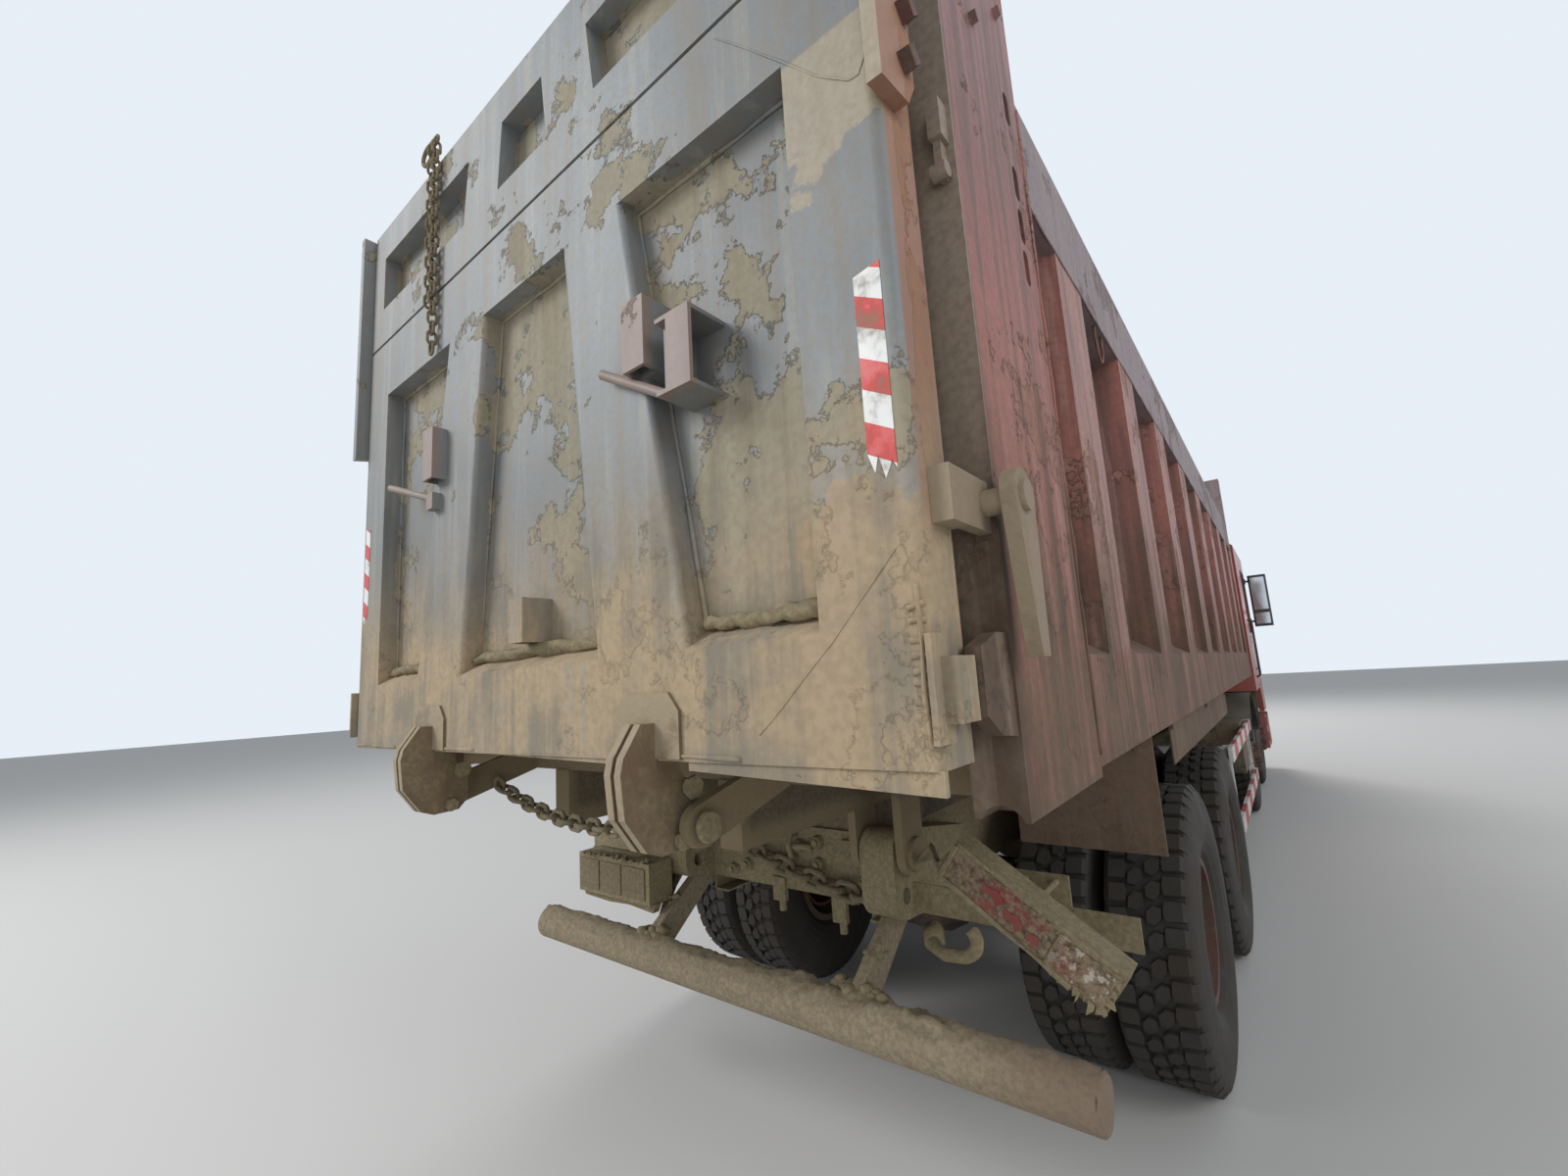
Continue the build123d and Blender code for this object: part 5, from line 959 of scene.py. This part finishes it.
coat(tree, shader, mix(tree, haze, (0.62, 0.66, 0.68), (0.35, 0.32, 0.27)), 0.06)
shader.inputs["Metallic"].default_value = 1.0
for side in (-1, 1):
    for low, high in ((2.305, 2.785), (2.095, 2.255)):
        slab(bm, oblong(side * 1.315, side * 1.485, low, high), 0.002, backward(at(10.527)))
piece("mirror_panes", bm, silver, "cab")
bm = bmesh.new()
for _, side in SIDES:
    slab(bm, oblong(at(9.62), at(9.70), 1.88, 1.915), 0.004, outward(side))
piece("lock_covers", bm, trim_mat, "cab")
for label, side in SIDES:
    bm = bmesh.new()
    window = oblong(at(9.668), at(10.418), 1.96, 2.822)
    tube(bm, [(side * (DOOR_SKIN + 0.0005), y, z) for y, z in window + window[:1]], 0.008, 6)
    slab(bm, oblong(at(9.70), at(10.39), 1.44, 1.47), 0.004, outward(side))
    piece(f"door_trim_{label}", bm, trim_mat, f"door_{label}")

# Seats, head rests and bunk as padded pieces on a hard base
def pad(name, x, y, z, crown, lean_y=0.0):
    """Crowned cushion that fills the given box, with two sewn channels across its upper side."""
    bm = bmesh.new()
    bmesh.ops.create_cube(bm, size=2)
    bmesh.ops.subdivide_edges(bm, edges=bm.edges, cuts=9, use_grid_fill=True)
    half = [(x[1] - x[0]) / 2, (y[1] - y[0]) / 2, (z[1] - z[0]) / 2]
    middle = [(x[1] + x[0]) / 2, (y[1] + y[0]) / 2, (z[1] + z[0]) / 2]
    for vert in bm.verts:
        u = vert.co.copy()
        for axis in range(3):
            others = [u[k] for k in range(3) if k != axis]
            shrink = crown * (others[0] ** 4 + others[1] ** 4) / 2
            vert.co[axis] = middle[axis] + half[axis] * u[axis] * (1 - shrink)
        groove = math.exp(-((abs(u.x) - 0.55) / 0.05) ** 2) * 0.008
        vert.co.z -= groove if u.z > 0.8 else 0
        vert.co.y += lean_y * (u.z + 1) / 2
    cushion = piece(name, bm, cloth_mat, "cab", smooth=True)


bm = bmesh.new()
for side in (-1, 1):
    x = side * SEAT_X
    cuboid(bm, (x - 0.19, x + 0.19), (at(9.56), at(9.96)), (CAB_FLOOR_Z, 1.50))
    cuboid(bm, sorted((side * 0.44, side * 1.17)), BUNK_Y, (CAB_FLOOR_Z, 1.5015))
    for post_x in (x - 0.05, x + 0.05):
        tube(bm, [(post_x, at(9.49), 2.22), (post_x, at(9.49), 2.34)], 0.008, 6)
piece("seat_bases", bm, trim_mat, "cab", replaces=("seats",))
for label, side in SIDES:
    x = side * SEAT_X
    pad(f"seat_cushion_{label}", (x - 0.25, x + 0.25), (at(9.50), at(10.01)), (1.50, 1.638), 0.10)
    pad(f"seat_back_{label}", (x - 0.24, x + 0.24), (at(9.50), at(9.62)), (1.61, 2.24), 0.10, -0.05)
    pad(f"head_rest_{label}", (x - 0.14, x + 0.14), (at(9.455), at(9.545)), (2.27, 2.438), 0.14)
pad("bunk", (-1.17, 1.17), BUNK_Y, (1.503, 1.648), 0.08)

# Camera at the photograph's viewpoint, as solved from its straight edges
PHOTO_WIDTH, FOCAL_PIXELS, SENSOR = 1600, 641.17, 36
right = Vector((0.77848, 0.62476, -0.06038))
down = Vector((-0.14043, 0.07961, -0.98688))
ahead = Vector((-0.61176, 0.77675, 0.14971))
eye = Vector((1.6291, at(-1.1177), 1.65))
camera_data = bpy.data.cameras.new("camera")
camera_data.sensor_width = SENSOR
camera_data.lens = SENSOR * FOCAL_PIXELS / PHOTO_WIDTH
camera_data.clip_start = 0.05
camera_data.clip_end = 300
camera = bpy.data.objects.new("camera", camera_data)
camera.matrix_world = Matrix.Translation(eye) @ Matrix((right, -down, -ahead)).transposed().to_4x4()
bpy.context.scene.collection.objects.link(camera)
bpy.context.scene.camera = camera

# Floor, background and soft light
floor_mesh = bpy.data.meshes.new("floor")
floor_mesh.from_pydata([(-60, -60, 0), (60, -60, 0), (60, 60, 0), (-60, 60, 0)], [], [(0, 1, 2, 3)])
floor = bpy.data.objects.new("floor", floor_mesh)
bpy.context.scene.collection.objects.link(floor)
floor_mat, tree, shader = material("floor")
coat(tree, shader, (0.60, 0.59, 0.57), 0.9)
floor_mesh.materials.append(floor_mat)
world = bpy.data.worlds.new("world")
world.use_nodes = True
sky = world.node_tree
# The sky lights the truck softly, and shows at full strength to the camera, in mirrors and through glass
lit, seen = sky.nodes["Background"], sky.nodes.new("ShaderNodeBackground")
for background, strength in ((lit, 0.48), (seen, 1)):
    background.inputs[0].default_value = (0.80, 0.86, 0.93, 1)
    background.inputs[1].default_value = strength
rays = sky.nodes.new("ShaderNodeLightPath").outputs
share = calc(sky, "MAXIMUM", rays["Is Glossy Ray"], rays["Is Transmission Ray"])
blend = sky.nodes.new("ShaderNodeMixShader")
sky.links.new(calc(sky, "MAXIMUM", rays["Is Camera Ray"], share), blend.inputs[0])
sky.links.new(lit.outputs[0], blend.inputs[1])
sky.links.new(seen.outputs[0], blend.inputs[2])
sky.links.new(blend.outputs[0], sky.nodes["World Output"].inputs[0])
bpy.context.scene.world = world
bpy.context.scene.view_settings.view_transform = "Standard"
# Soft lamps: place, aim, size in metres, watts
for place, aim, size, power in (
        ((-9, -16, 10), (0, -4, 1.5), 7, 1800), ((15, -6, 9), (1, -1, 1.5), 8, 900),
        ((-4, 15, 14), (0, 3, 1), 8, 1500), ((5, -13, 1.5), (0, -5, 0.9), 5, 150)):
    lamp_data = bpy.data.lights.new("soft light", "AREA")
    lamp_data.size, lamp_data.energy = size, power
    lamp = bpy.data.objects.new("soft light", lamp_data)
    lamp.location = place
    lamp.rotation_mode = "QUATERNION"
    lamp.rotation_quaternion = (Vector(aim) - Vector(place)).to_track_quat("-Z", "Y")
    bpy.context.scene.collection.objects.link(lamp)
